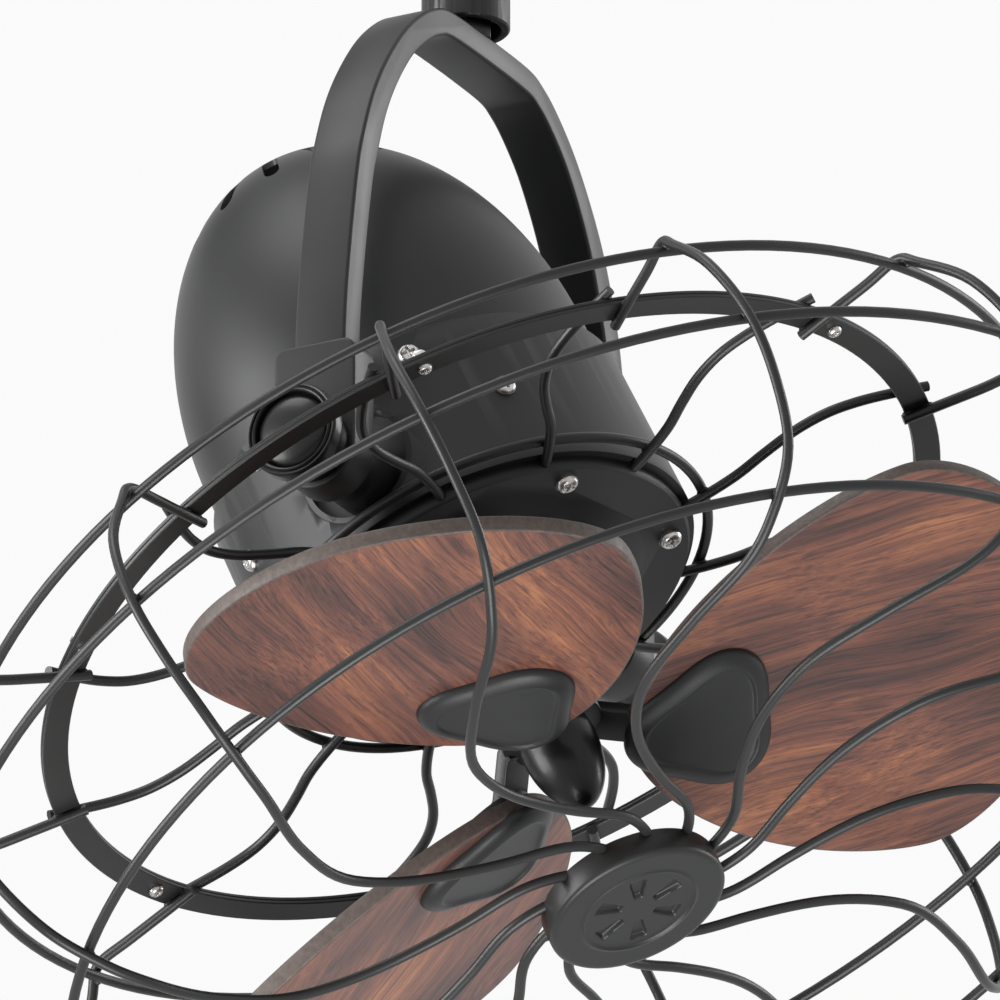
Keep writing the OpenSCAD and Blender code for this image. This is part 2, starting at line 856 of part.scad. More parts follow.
// Front plate: flange on the shroud, stepped disc and a bearing boss for the shaft
module front_plate(side) {
    color(black)
    in_head(side)
        difference() {
            rotate_extrude($fn = 96)
                polygon([
                    [0, -shroud_front], [shroud_d / 2, -shroud_front],
                    [shroud_d / 2, -shroud_front - plate_flange], [plate_r, -shroud_front - plate_flange],
                    [plate_r, -plate_face + 1.2], [plate_r - 1.2, -plate_face],
                    [core_r - 10, -plate_face], [core_r - 12, -plate_face - 2],
                    [plate_boss_r + 21, -plate_face - 2], [plate_boss_r + 19, -plate_face],
                    [plate_boss_r + 3, -plate_face], [plate_boss_r, -plate_face - 8],
                    [0, -plate_face - 8]]);
            cylinder(d = shaft_d + 2 * fit, h = 4 * plate_face, center = true);
            plate_screw_places()
                translate([0, 0, -10])
                    cylinder(d = 4 + 2 * screw_gap, h = 12, $fn = small_fn);
        }
}

module housing_screws(side) {
    color(steel)
    in_head(side) {
        plate_screw_places()
            pan_screw(8.5, 3, 4, 14);
        shroud_screw_places(0.05)
            pan_screw(8, 2.6, 4, 13);
    }
}

// Motor: solid stator body with a screw flange and two trunnion ends that take the pivot bolts
module motor_core(side) {
    color(dark)
    in_head(side)
        difference() {
            union() {
                translate([0, 0, -shroud_front])
                    cylinder(r = core_r, h = shroud_front + core_rear);
                translate([0, 0, -shroud_front])
                    cylinder(r = shroud_r(core_flange - shroud_front) - housing_wall - 2 * face_gap, h = core_flange);
                rotate([90, 0, 0])
                    cylinder(d = bolt_d + 12, h = 2 * scoop_floor, center = true);
            }
            translate([0, 0, -shroud_front - 1])
                cylinder(d = shaft_d + 2 * fit, h = shroud_front + 36);
            for (m = [0, 1])
                mirror([0, m, 0])
                    translate([0, bolt_inner - 1, 0])
                        rotate([-90, 0, 0])
                            cylinder(d = bolt_d + 2 * fit, h = 30, $fn = 32);
            plate_screw_places()
                translate([0, 0, -15])
                    cylinder(d = 4, h = 12, $fn = small_fn);
            for (m = [0, 1])
                mirror([0, m, 0])
                    difference() {
                        translate([0, scoop_floor - housing_wall - 0.5, scoop_back])
                            rotate([-90, 0, 0])
                                cylinder(r = scoop_r + housing_wall + 1, h = 30);
                        translate([0, scoop_floor - 10, 0])
                            rotate([-90, 0, 0])
                                cylinder(d = bolt_d + 12, h = 10);
                    }
            shroud_screw_places(-14.5)
                cylinder(d = 4, h = 12, $fn = small_fn);
        }
}

module dome_a() {
    dome(0);
}

module dome_b() {
    dome(180);
}

module shroud_a() {
    shroud(0);
}

module shroud_b() {
    shroud(180);
}

module front_plate_a() {
    front_plate(0);
}

module front_plate_b() {
    front_plate(180);
}

module housing_screws_a() {
    housing_screws(0);
}

module housing_screws_b() {
    housing_screws(180);
}

module motor_core_a() {
    motor_core(0);
}

module motor_core_b() {
    motor_core(180);
}

// ---------------------------------------------------------------- guard

module rear_spokes(side) {
    path = [for (q = rear_spoke) spun(q)];
    color(black)
    in_head(side)
        spread(wire_count)
            wire(path);
}

// Flat band with holes for the six clamp screws
module band(s) {
    difference() {
        translate([0, 0, -s - band_t])
            rotate_extrude($fn = 96)
                translate([band_r - band_w, 0])
                    square([band_w, band_t]);
        spread(6, band_screw_phase)
            translate([band_mid_r, 0, -s - band_t - 1])
                cylinder(d = band_screw_d + 2 * screw_gap, h = band_t + 2, $fn = small_fn);
    }
}

module rear_rings(side) {
    color(black)
    in_head(side) {
        band(rear_band_s);
        wire_ring(inner_ring_r, -spoke_s + wire_d - weld);
    }
}

// Front guard: each wire leaves the medallion in an S curve, rolls over the rim and runs back to the band
module front_wires(side) {
    path = [for (q = curve(front_wire, 2)) spun([q[0], q[1], -q[2]])];
    color(black)
    in_head(side)
        spread(wire_count, wire_phase)
            wire(path);
}

module front_rings(side) {
    color(black)
    in_head(side) {
        band(front_band_s);
        for (t = ring_places)
            wire_ring(ring_at(t)[0], -ring_at(t)[1]);
    }
}

// Clamp screws through both bands, each with a nut behind
module band_screws(side) {
    color(steel)
    in_head(side)
        spread(6, band_screw_phase)
            translate([band_mid_r, 0, -band_front])
                rotate([180, 0, 0]) {
                    pan_screw(band_screw_head, 2, band_screw_d, 2 * band_t + band_nut_h + 1);
                    translate([0, 0, -2 * band_t - band_nut_h])
                        cylinder(d = band_nut_d, h = band_nut_h, $fn = 6);
                }
}

// Medallion: a thick disc over the wire ends with a ring groove and six wedge shaped recesses
module medallion(side) {
    r = medallion_d / 2;
    rear = guard_face + wire_r - weld;
    front = rear + medallion_t;
    color(black)
    in_head(side) {
        difference() {
            rotate_extrude($fn = 72)
                polygon([
                    [0, -rear], [r - 0.8, -rear], [r, -rear - 0.8], [r, -front + 1.8],
                    [r - 0.6, -front + 0.6], [r - 1.8, -front],
                    [r * 0.69, -front], [r * 0.66, -front + 0.8], [r * 0.63, -front], [0, -front]]);
            spread(6, 30)
                translate([0, 0, -front - 1])
                    linear_extrude(2)
                        polygon([
                            [r * 0.22, -r * 0.05], [r * 0.56, -r * 0.09],
                            [r * 0.56, r * 0.09], [r * 0.22, r * 0.05]]);
        }
        translate([0, 0, -guard_face + wire_r - weld])
            cylinder(r = r * 0.86, h = 2.4);
        translate([0, 0, -rear - 1])
            cylinder(d = 10, h = medallion_t + 3);
    }
}

module rear_spokes_a() {
    rear_spokes(0);
}

module rear_spokes_b() {
    rear_spokes(180);
}

module rear_rings_a() {
    rear_rings(0);
}

module rear_rings_b() {
    rear_rings(180);
}

module front_wires_a() {
    front_wires(0);
}

module front_wires_b() {
    front_wires(180);
}

module front_rings_a() {
    front_rings(0);
}

module front_rings_b() {
    front_rings(180);
}

module band_screws_a() {
    band_screws(0);
}

module band_screws_b() {
    band_screws(180);
}

module medallion_a() {
    medallion(0);
}

module medallion_b() {
    medallion(180);
}

// ---------------------------------------------------------------- rotor

module rotor_core(side) {
    color(steel)
    in_head(side) {
        translate([0, 0, -shaft_front])
            cylinder(d = shaft_d, h = shaft_front + 18);
        translate([0, 0, -hub_rear])
            cylinder(d = shaft_d + 8, h = hub_rear - plate_face - 8 - 2);
    }
}

// Stands a child in the frame of one blade: X outwards, Y across, -Z to the front
module in_blade(i) {
    rotate([0, 0, blade_phase + i * 360 / blade_count])
        translate([0, 0, -blade_plane])
            rotate([-blade_pitch, 0, 0])
                children();
}

// Egg shaped blade outline: two half superellipses that meet at the widest place
module blade_outline() {
    tip = blade_tip_r - blade_mid;
    polygon([for (k = [0:59])
        let (
            w = 6 * k,
            outward = cos(w) >= 0,
            e = outward ? 2 / 1.8 : 2 / 1.63,
            reach = outward ? tip : -blade_root)
        [blade_mid + reach * pow(abs(cos(w)), e), sign(sin(w)) * blade_half_w * pow(abs(sin(w)), e)]]);
}

// Rounded triangle that the blade caps and the bracket's pads share
module cap_outline(shrink) {
    polygon([for (w = [0:8:352])
        let (r = 27.5 - 3.5 * cos(3 * w) - shrink)
        [blade_cap_mid + r * cos(w), r * sin(w)]]);
}

module blade_screw_places() {
    for (p = [[38, 0], [60, 15], [60, -15]])
        translate([p[0], p[1], blade_t / 2])
            children();
}

module blade(side, i) {
    color(walnut)
    in_head(side)
        in_blade(i)
            difference() {
                translate([0, 0, -blade_t / 2])
                    linear_extrude(blade_t)
                        blade_outline();
                blade_screw_places()
                    cylinder(d = blade_screw_d + 2 * screw_gap, h = 3 * blade_t, center = true, $fn = small_fn);
            }
}

// Bracket: a disc on the shaft with stepped arms and a pad under each blade, all set at the blades' pitch
module blade_bracket(side) {
    pad_rear = blade_t / 2 + pad_t;
    hub_mid = blade_plane - (hub_front + hub_rear) / 2;
    arm_w = 22;
    color(black)
    in_head(side)
        difference() {
            union() {
                translate([0, 0, -hub_front])
                    cylinder(r = hub_r, h = hub_front - hub_rear);
                for (i = [0:blade_count - 1])
                    in_blade(i) {
                        translate([0, 0, blade_t / 2])
                            linear_extrude(pad_t)
                                cap_outline(4);
                        rotate([90, 0, 0])
                            linear_extrude(arm_w, center = true)
                                polygon([
                                    [hub_r - 5, hub_mid - 2.8], [hub_r - 5, hub_mid + 3.2], [hub_r - 2, hub_mid + 3.2],
                                    [32, pad_rear + 1.6], [44, pad_rear - 0.5],
                                    [44, pad_rear - 2], [28, pad_rear - 2], [hub_r - 2.5, hub_mid - 2.8]]);
                    }
            }
            for (i = [0:blade_count - 1])
                in_blade(i)
                    blade_screw_places() {
                        cylinder(d = blade_screw_d + 2 * screw_gap, h = 3 * blade_t, center = true, $fn = small_fn);
                        translate([0, 0, pad_t])
                            cylinder(d = blade_screw_head + 2 * screw_gap, h = pad_t + 3, $fn = small_fn);
                    }
            translate([0, 0, -hub_front - 1])
                cylinder(d = shaft_d, h = hub_front - hub_rear + 2);
        }
}

// Spinner: bullet shaped nut on the shaft end
module spinner(side) {
    base = hub_front;
    r = spinner_d / 2;
    long = spinner_tip - base;
    color(dark)
    in_head(side)
        difference() {
            rotate_extrude($fn = 64)
                polygon(concat(
                    [[0, -base], [r * 0.9, -base]],
                    [for (k = [0:10])
                        let (t = k / 10)
                        [r * pow(1 - pow(t, 2.2), 0.62), -base - 6 - (long - 6) * t]],
                    []));
            translate([0, 0, -shaft_front])
                cylinder(d = shaft_d, h = shaft_front);
        }
}

// Blade caps: a raised rim round a shallow panel
module blade_caps(side) {
    color(black)
    in_head(side)
        for (i = [0:blade_count - 1])
            in_blade(i)
                difference() {
                    union() {
                        translate([0, 0, -blade_t / 2 - cap_h + 1])
                            linear_extrude(cap_h - 1)
                                cap_outline(0);
                        translate([0, 0, -blade_t / 2 - cap_h])
                            linear_extrude(cap_h)
                                cap_outline(1.4);
                    }
                    translate([0, 0, -blade_t / 2 - cap_h - 1])
                        linear_extrude(2.2)
                            cap_outline(6);
                    blade_screw_places()
                        cylinder(d = blade_screw_d, h = 2 * (blade_t + pad_t), center = true, $fn = small_fn);
                }
}

// Three pan head screws in each blade, put in from the rear through the bracket pad
module blade_screws(side) {
    color(steel)
    in_head(side)
        for (i = [0:blade_count - 1])
            in_blade(i)
                blade_screw_places()
                    translate([0, 0, pad_t])
                        pan_screw(blade_screw_head, 2.4, blade_screw_d, pad_t + blade_t + 2.5);
}

module rotor_core_a() {
    rotor_core(0);
}

module rotor_core_b() {
    rotor_core(180);
}

module blade_bracket_a() {
    blade_bracket(0);
}

module blade_bracket_b() {
    blade_bracket(180);
}

module spinner_a() {
    spinner(0);
}

module spinner_b() {
    spinner(180);
}

module blade_1_a() {
    blade(0, 0);
}

module blade_2_a() {
    blade(0, 1);
}

module blade_3_a() {
    blade(0, 2);
}

module blade_1_b() {
    blade(180, 0);
}

module blade_2_b() {
    blade(180, 1);
}

module blade_3_b() {
    blade(180, 2);
}

module blade_caps_a() {
    blade_caps(0);
}

module blade_caps_b() {
    blade_caps(180);
}

module blade_screws_a() {
    blade_screws(0);
}

module blade_screws_b() {
    blade_screws(180);
}

// ---------------------------------------------------------------- the nodes

bracket();
canopy();
canopy_screws();
downrod();
axle();
hub_upper();
hub_lower();
hub_bearings();
arm_a();
arm_b();
socket_a();
socket_b();
socket_screws();
yoke_a();
stud_a();
pivot_bolts_a();
pivot_caps_a();
dome_a();
shroud_a();
front_plate_a();
housing_screws_a();
motor_core_a();
rear_spokes_a();
rear_rings_a();
front_wires_a();
front_rings_a();
band_screws_a();
medallion_a();
rotor_core_a();
blade_bracket_a();
spinner_a();
blade_1_a();
blade_2_a();
blade_3_a();
blade_caps_a();
blade_screws_a();
yoke_b();
stud_b();
pivot_bolts_b();
pivot_caps_b();
dome_b();
shroud_b();
front_plate_b();
housing_screws_b();
motor_core_b();
rear_spokes_b();
rear_rings_b();
front_wires_b();
front_rings_b();
band_screws_b();
medallion_b();
rotor_core_b();
blade_bracket_b();
spinner_b();
blade_1_b();
blade_2_b();
blade_3_b();
blade_caps_b();
blade_screws_b();
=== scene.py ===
# %% [markdown]
# # Twin head ceiling fan
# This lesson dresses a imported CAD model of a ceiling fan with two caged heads. The CAD frame gives every
# place and every joint, so the looks only have to sit on it. The finished pieces are those that meet the eye
# first: the guard, the blades, the motor housings, the yokes and the screws.

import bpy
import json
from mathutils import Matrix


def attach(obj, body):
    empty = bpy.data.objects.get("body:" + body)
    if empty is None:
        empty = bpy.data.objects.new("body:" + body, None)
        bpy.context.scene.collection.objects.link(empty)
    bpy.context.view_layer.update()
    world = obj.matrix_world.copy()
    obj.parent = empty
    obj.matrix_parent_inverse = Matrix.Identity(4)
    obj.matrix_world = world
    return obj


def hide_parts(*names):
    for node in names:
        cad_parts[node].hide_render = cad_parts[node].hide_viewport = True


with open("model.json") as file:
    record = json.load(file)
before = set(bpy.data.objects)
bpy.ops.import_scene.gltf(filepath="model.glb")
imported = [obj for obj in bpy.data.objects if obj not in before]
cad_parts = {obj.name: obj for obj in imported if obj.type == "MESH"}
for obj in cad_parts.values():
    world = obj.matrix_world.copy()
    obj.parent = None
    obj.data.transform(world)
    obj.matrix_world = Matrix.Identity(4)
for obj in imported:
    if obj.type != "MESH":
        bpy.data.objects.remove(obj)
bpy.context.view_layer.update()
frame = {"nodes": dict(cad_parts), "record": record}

import json
import math

import bmesh
import bpy
from mathutils import Matrix, Vector

MM = 0.001

# %% [markdown]
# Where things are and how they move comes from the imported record, so that no place is typed twice: the pivot
# of each joint, the body that each CAD node moves with, and the finish that each node was given.

# %% Pivots, bodies and finishes from the record
behaviour = frame["record"]["behaviour"]
pivot_of = {joint["name"]: Vector(joint["pos_m"]) for joint in behaviour["joints"]}
body_of = {node: body for body, members in behaviour["bodies"].items() for node in members}
slot_of = {part["node"]: part["material_slot"] for part in frame["record"]["subparts"]}
PIVOT = pivot_of["tilt_a"]
print("nodes:", len(body_of), "head a tilts about", [round(v, 3) for v in PIVOT])

# %% [markdown]
# The photograph is taken from below with a very long lens, so lines that are parallel on the fan stay
# parallel in the picture. A camera 14 m away with a lens to match gives the same flat perspective. Its three
# directions come from the guard rings, which are circles on the fan and ellipses in the picture.

# %% Camera
RIGHT = Vector((0.8830, 0.4690, 0.0)).normalized()
AHEAD = Vector((-0.4333, 0.8158, 0.3827)).normalized()
UP = RIGHT.cross(AHEAD).normalized()
SENSOR = 36
FRAME_PX = 1000
FOCAL_PX = 40000
PX_PER_M = 2837.6
PIVOT_PX = (465.5, 554.2)

cam = bpy.data.cameras.new("photo_camera")
cam.sensor_width = SENSOR
cam.lens = FOCAL_PX * SENSOR / FRAME_PX
cam.clip_start = 0.1
cam_obj = bpy.data.objects.new("photo_camera", cam)
bpy.context.collection.objects.link(cam_obj)
to_right = (FRAME_PX / 2 - PIVOT_PX[0]) / PX_PER_M
to_top = (PIVOT_PX[1] - FRAME_PX / 2) / PX_PER_M
eye = PIVOT - AHEAD * FOCAL_PX / PX_PER_M + RIGHT * to_right + UP * to_top
cam_obj.matrix_world = Matrix.Translation(eye) @ Matrix((RIGHT, UP, -AHEAD)).transposed().to_4x4()
bpy.context.scene.camera = cam_obj
print("camera", [round(v, 3) for v in eye], "lens", round(cam.lens))

# %% [markdown]
# Satin black shows little of its own colour and much of what it reflects. The surround lights the fan at a
# low even level, and it is white only where the camera, gloss or glass looks straight at it, so faces seen at
# a low angle catch the white. The Light Path node tells these rays apart.

# %% Tell the background's looks from its light
def looked_at(tree):
    """1 where the camera, gloss or glass looks straight at the background, 0 for the light it gives."""
    path = tree.nodes.new("ShaderNodeLightPath")
    looking = path.outputs["Is Camera Ray"]
    for ray in ("Is Glossy Ray", "Is Transmission Ray"):
        either = tree.nodes.new("ShaderNodeMath")
        either.operation = "MAXIMUM"
        tree.links.new(looking, either.inputs[0])
        tree.links.new(path.outputs[ray], either.inputs[1])
        looking = either.outputs[0]
    return looking


# %% Surround
WHITE = (0.96, 0.96, 0.96, 1)
COOL = (0.96, 0.98, 1.0, 1)
ROOM_LIGHT = 0.25

world = bpy.data.worlds.new("surround")
bpy.context.scene.world = world
world.use_nodes = True
wt = world.node_tree
seen = wt.nodes["Background"]
seen.inputs["Color"].default_value = WHITE
seen.inputs["Strength"].default_value = 1.0
lit = wt.nodes.new("ShaderNodeBackground")
lit.inputs["Color"].default_value = COOL
lit.inputs["Strength"].default_value = ROOM_LIGHT
mix = wt.nodes.new("ShaderNodeMixShader")
wt.links.new(looked_at(wt), mix.inputs[0])
wt.links.new(lit.outputs[0], mix.inputs[1])
wt.links.new(seen.outputs[0], mix.inputs[2])
wt.links.new(mix.outputs[0], wt.nodes["World Output"].inputs["Surface"])
print("surround lights at", ROOM_LIGHT)

# %% [markdown]
# Faces that look down reflect the pale floor instead. A ceiling fan is looked at from below, also by cameras
# that stand very far off, so the floor is wide and lies deep enough to stay under them.

# %% Floor
FLOOR_DEPTH = 90
FLOOR_REACH = 900
FLOOR_GLOW = 0.6

floor_bm = bmesh.new()
bmesh.ops.create_grid(floor_bm, x_segments=1, y_segments=1, size=FLOOR_REACH,
                      matrix=Matrix.Translation((0, 0, -FLOOR_DEPTH)))
floor_mesh = bpy.data.meshes.new("floor")
floor_bm.to_mesh(floor_mesh)
floor_bm.free()
floor_obj = bpy.data.objects.new("floor", floor_mesh)
bpy.context.collection.objects.link(floor_obj)

floor_paint = bpy.data.materials.new("floor_paint")
floor_paint.use_nodes = True
floor_mesh.materials.append(floor_paint)
floor_tree = floor_paint.node_tree
floor_shader = floor_tree.nodes["Principled BSDF"]
floor_shader.inputs["Base Color"].default_value = (0.86, 0.86, 0.86, 1)
floor_shader.inputs["Roughness"].default_value = 0.9
floor_shader.inputs["Emission Color"].default_value = (0.94, 0.94, 0.94, 1)
glow = floor_tree.nodes.new("ShaderNodeMath")
glow.operation = "MULTIPLY"
glow.inputs[1].default_value = FLOOR_GLOW
floor_tree.links.new(looked_at(floor_tree), glow.inputs[0])
floor_tree.links.new(glow.outputs[0], floor_shader.inputs["Emission Strength"])
print("floor lies", FLOOR_DEPTH, "m down")

# %% [markdown]
# Four large soft lamps shape the dark forms: one from the left that models the dome and the yoke, one from
# below that lifts the faces towards the camera, and two weaker ones from behind that draw the edges. Each is
# placed as the camera sees it, which makes it easy to say which side it lights.

# %% Lamps
def seen_from_camera(right, up, ahead):
    return PIVOT + RIGHT * right + UP * up + AHEAD * ahead


def soft_lamp(name, place, size, watts):
    lamp = bpy.data.lights.new(name, "AREA")
    lamp.shape = "SQUARE"
    lamp.size = size
    lamp.energy = watts
    o = bpy.data.objects.new(name, lamp)
    bpy.context.collection.objects.link(o)
    o.location = place
    o.rotation_euler = (PIVOT - Vector(place)).to_track_quat("-Z", "Y").to_euler()


soft_lamp("key_left", seen_from_camera(-2.6, 0.1, -0.5), 1.6, 98)
soft_lamp("fill_below", seen_from_camera(0.1, -2.1, -1.9), 1.8, 112)
soft_lamp("top_back", seen_from_camera(-1.2, 2.4, 0.4), 1.4, 26)
soft_lamp("rim_right", seen_from_camera(2.5, 0.6, 1.3), 1.3, 34)
bpy.context.scene.view_settings.view_transform = "Standard"

# %% [markdown]
# Each head is designed straight down about its own tilt pivot, and is then tilted outwards. Working in that
# head frame, in millimetres, keeps all radii and angles simple. The two heads are the same shapes, put in
# place by two matrices, and the blades are turned and pitched in the head frame in the same way.

# %% Where the heads, yokes and blades are
SIDES = {"a": 0.0, "b": math.pi}
TILT = math.radians(24.9)
BLADE_COUNT = 3
BLADE_PHASE = 34.35
BLADE_PITCH = 17.3
BLADE_PLANE = 92.8


def turned(degrees, axis="Z"):
    return Matrix.Rotation(math.radians(degrees), 4, axis)


def yoke_place(side):
    return Matrix.Rotation(SIDES[side], 4, "Z") @ Matrix.Translation(PIVOT) @ Matrix.Scale(MM, 4)


def head_place(side):
    return (Matrix.Rotation(SIDES[side], 4, "Z") @ Matrix.Translation(PIVOT)
            @ Matrix.Rotation(-TILT, 4, "Y") @ Matrix.Scale(MM, 4))


def blade_in_head(i):
    return (turned(BLADE_PHASE + 360 / BLADE_COUNT * i) @ Matrix.Translation((0, 0, -BLADE_PLANE))
            @ turned(-BLADE_PITCH, "X"))


print("front of head a points to", [round(v, 3) for v in head_place("a").to_3x3() @ Vector((0, 0, -1000))])

# %% [markdown]
# All finishes are built from a few kinds of nodes. A small helper for each kind adds the node, sets it and
# gives back its output, so that a material reads like a recipe further down.

# %% Helpers: noise, ramps and sums
def node(tree, kind, **values):
    n = tree.nodes.new(kind)
    for key, value in values.items():
        setattr(n, key, value)
    return n


def noise(tree, vector, scale, detail, rough=0.5):
    n = node(tree, "ShaderNodeTexNoise")
    n.inputs["Scale"].default_value = scale
    n.inputs["Detail"].default_value = detail
    n.inputs["Roughness"].default_value = rough
    tree.links.new(vector, n.inputs["Vector"])
    return n.outputs["Fac"]


def remap(tree, value, low, high, out_low, out_high):
    n = node(tree, "ShaderNodeMapRange")
    tree.links.new(value, n.inputs["Value"])
    for key, v in (("From Min", low), ("From Max", high), ("To Min", out_low), ("To Max", out_high)):
        n.inputs[key].default_value = v
    return n.outputs["Result"]


def ramp(tree, value, stops):
    n = node(tree, "ShaderNodeValToRGB")
    tree.links.new(value, n.inputs["Fac"])
    while len(n.color_ramp.elements) < len(stops):
        n.color_ramp.elements.new(0.5)
    for e, (pos, colour) in zip(n.color_ramp.elements, stops):
        e.position = pos
        e.color = (*colour, 1)
    return n.outputs["Color"]


def math_node(tree, op, a, b):
    n = node(tree, "ShaderNodeMath", operation=op)
    for i, v in enumerate((a, b)):
        if isinstance(v, (int, float)):
            n.inputs[i].default_value = v
        else:
            tree.links.new(v, n.inputs[i])
    return n.outputs[0]


# %% Helpers: bump, stretch and groups
FLOAT, COLOR, VECTOR = "NodeSocketFloat", "NodeSocketColor", "NodeSocketVector"


def bumped(tree, height, strength, distance):
    n = node(tree, "ShaderNodeBump")
    n.inputs["Strength"].default_value = strength
    n.inputs["Distance"].default_value = distance
    tree.links.new(height, n.inputs["Height"])
    return n.outputs["Normal"]


def stretched(tree, vector, scale):
    n = node(tree, "ShaderNodeMapping")
    n.inputs["Scale"].default_value = scale
    tree.links.new(vector, n.inputs["Vector"])
    return n.outputs["Vector"]


def group_with(name, ins, outs):
    g = bpy.data.node_groups.new(name, "ShaderNodeTree")
    for label, kind in ins:
        g.interface.new_socket(label, in_out="INPUT", socket_type=kind)
    for label, kind in outs:
        g.interface.new_socket(label, in_out="OUTPUT", socket_type=kind)
    return g, g.nodes.new("NodeGroupInput"), g.nodes.new("NodeGroupOutput")


def new_material(name):
    """A material, its node tree, its shader and its object coordinates."""
    m = bpy.data.materials.new(name)
    m.use_nodes = True
    t = m.node_tree
    return m, t, t.nodes["Principled BSDF"], node(t, "ShaderNodeTexCoord").outputs["Object"]


print("node helpers ready")

# %% [markdown]
# The black parts are powder coated. Powder leaves a fine orange peel that breaks up the reflections, so the
# coat is a near black base with a soft sheen, a small bump and slightly uneven roughness. One node group
# makes that surface, and each coat puts its own two greys into it.

# %% Powder coat group
coat, coat_in, coat_out = group_with(
    "powder_coat", [("Vector", VECTOR), ("Smoothness", FLOAT)],
    [("Tone", FLOAT), ("Roughness", FLOAT), ("Normal", VECTOR)])
broad = noise(coat, coat_in.outputs["Vector"], 14, 3)
peel = noise(coat, coat_in.outputs["Vector"], 900, 2)
dust = noise(coat, coat_in.outputs["Vector"], 2600, 1)
uneven = math_node(coat, "ADD", broad, math_node(coat, "MULTIPLY", dust, 0.35))
coat.links.new(remap(coat, uneven, 0.4, 0.95, 0.0, 1.0), coat_out.inputs["Tone"])
satin = remap(coat, broad, 0.3, 0.7, 0.40, 0.50)
smoother = math_node(coat, "SUBTRACT", satin, coat_in.outputs["Smoothness"])
coat.links.new(smoother, coat_out.inputs["Roughness"])
coat.links.new(bumped(coat, peel, 0.07, 0.0003), coat_out.inputs["Normal"])
print("powder coat nodes:", len(coat.nodes))


# %% Coats
def coated(name, dark, light, smooth=0.0, lacquer=0.0, shine=0.32):
    """A powder coat between two greys. Matting powder reflects less than plain paint, so its shine is low."""
    m, t, b, place = new_material(name)
    g = node(t, "ShaderNodeGroup", node_tree=coat)
    t.links.new(place, g.inputs["Vector"])
    g.inputs["Smoothness"].default_value = smooth
    t.links.new(ramp(t, g.outputs["Tone"], [(0.0, dark), (1.0, light)]), b.inputs["Base Color"])
    t.links.new(g.outputs["Roughness"], b.inputs["Roughness"])
    t.links.new(g.outputs["Normal"], b.inputs["Normal"])
    b.inputs["Specular IOR Level"].default_value = shine
    b.inputs["Coat Weight"].default_value = lacquer
    return m


MAT = {
    "black_coat": coated("black_coat", (0.009, 0.0093, 0.0098), (0.016, 0.0163, 0.017), shine=0.36),
    "guard_coat": coated("guard_coat", (0.013, 0.0133, 0.013), (0.020, 0.0204, 0.020), 0.06),
    "gloss_black": coated("gloss_black", (0.006, 0.006, 0.0065), (0.010, 0.010, 0.0105), 0.14, 0.06, 0.25),
}
print("coats:", list(MAT))

# %% [markdown]
# Zinc plated steel is bright, with small spots where the plating is duller. The same recipe with other tones
# gives the bearings, the black oxide studs and the hidden motor body.

# %% Bare metals
def metal(name, colour, dull, rough, scale=300):
    m, t, b, place = new_material(name)
    spots = noise(t, place, scale, 4)
    t.links.new(ramp(t, spots, [(0.3, dull), (0.7, colour)]), b.inputs["Base Color"])
    t.links.new(remap(t, spots, 0.3, 0.7, rough + 0.12, rough), b.inputs["Roughness"])
    t.links.new(bumped(t, noise(t, place, scale * 6, 2), 0.12, 0.0002), b.inputs["Normal"])
    b.inputs["Metallic"].default_value = 1.0
    return m


MAT["zinc_steel"] = metal("zinc_steel", (0.66, 0.65, 0.63), (0.42, 0.41, 0.39), 0.22)
MAT["bearing_steel"] = metal("bearing_steel", (0.55, 0.55, 0.55), (0.40, 0.40, 0.40), 0.25)
MAT["black_oxide"] = metal("black_oxide", (0.05, 0.05, 0.055), (0.03, 0.03, 0.03), 0.35)
MAT["motor"] = metal("motor", (0.36, 0.36, 0.37), (0.25, 0.25, 0.26), 0.5, 120)
print("finishes:", list(MAT))

# %% [markdown]
# The blades look like dark rosewood or walnut. Along the grain everything is long and across it everything is
# fine, so each layer is noise that is stretched along X: a broad figure, streaks, dark lines, fibres and the
# short dashes of open pores. A slow noise bends them all together, as growth rings do, and wide clouds of
# light and dark lie under them.

# %% Layers of the wood grain
wood, wood_in, wood_out = group_with(
    "wood_grain", [("Vector", VECTOR)], [("Color", COLOR), ("Roughness", FLOAT), ("Normal", VECTOR)])
along = wood_in.outputs["Vector"]
slow = node(wood, "ShaderNodeTexNoise")
slow.inputs["Scale"].default_value = 1.0
slow.inputs["Detail"].default_value = 1.5
wood.links.new(stretched(wood, along, (8, 15, 15)), slow.inputs["Vector"])
push = node(wood, "ShaderNodeVectorMath", operation="SCALE")
push.inputs["Scale"].default_value = 0.032
wood.links.new(slow.outputs["Color"], push.inputs[0])
bent = node(wood, "ShaderNodeVectorMath", operation="ADD")
wood.links.new(along, bent.inputs[0])
wood.links.new(push.outputs[0], bent.inputs[1])


def grain_layer(vector, length, width, detail, rough=0.5):
    """Noise with this many waves in a metre along the grain and across it."""
    return noise(wood, stretched(wood, vector, (length, width, width)), 1.0, detail, rough)


figure = grain_layer(bent.outputs[0], 5, 62, 4, 0.62)
streaks = grain_layer(bent.outputs[0], 4, 290, 2, 0.6)
fibres = grain_layer(bent.outputs[0], 36, 1500, 2, 0.6)
pores = grain_layer(bent.outputs[0], 150, 1900, 1)
lines = grain_layer(bent.outputs[0], 5, 800, 1)
clouds = grain_layer(along, 9, 17, 2)
print("wood layers: 6")

# %% [markdown]
# The layers are added into one tone, and a ramp turns that tone into wood colours, from nearly black through
# red brown to a warm orange. The pores are painted in last, because they are holes filled with dark lacquer.

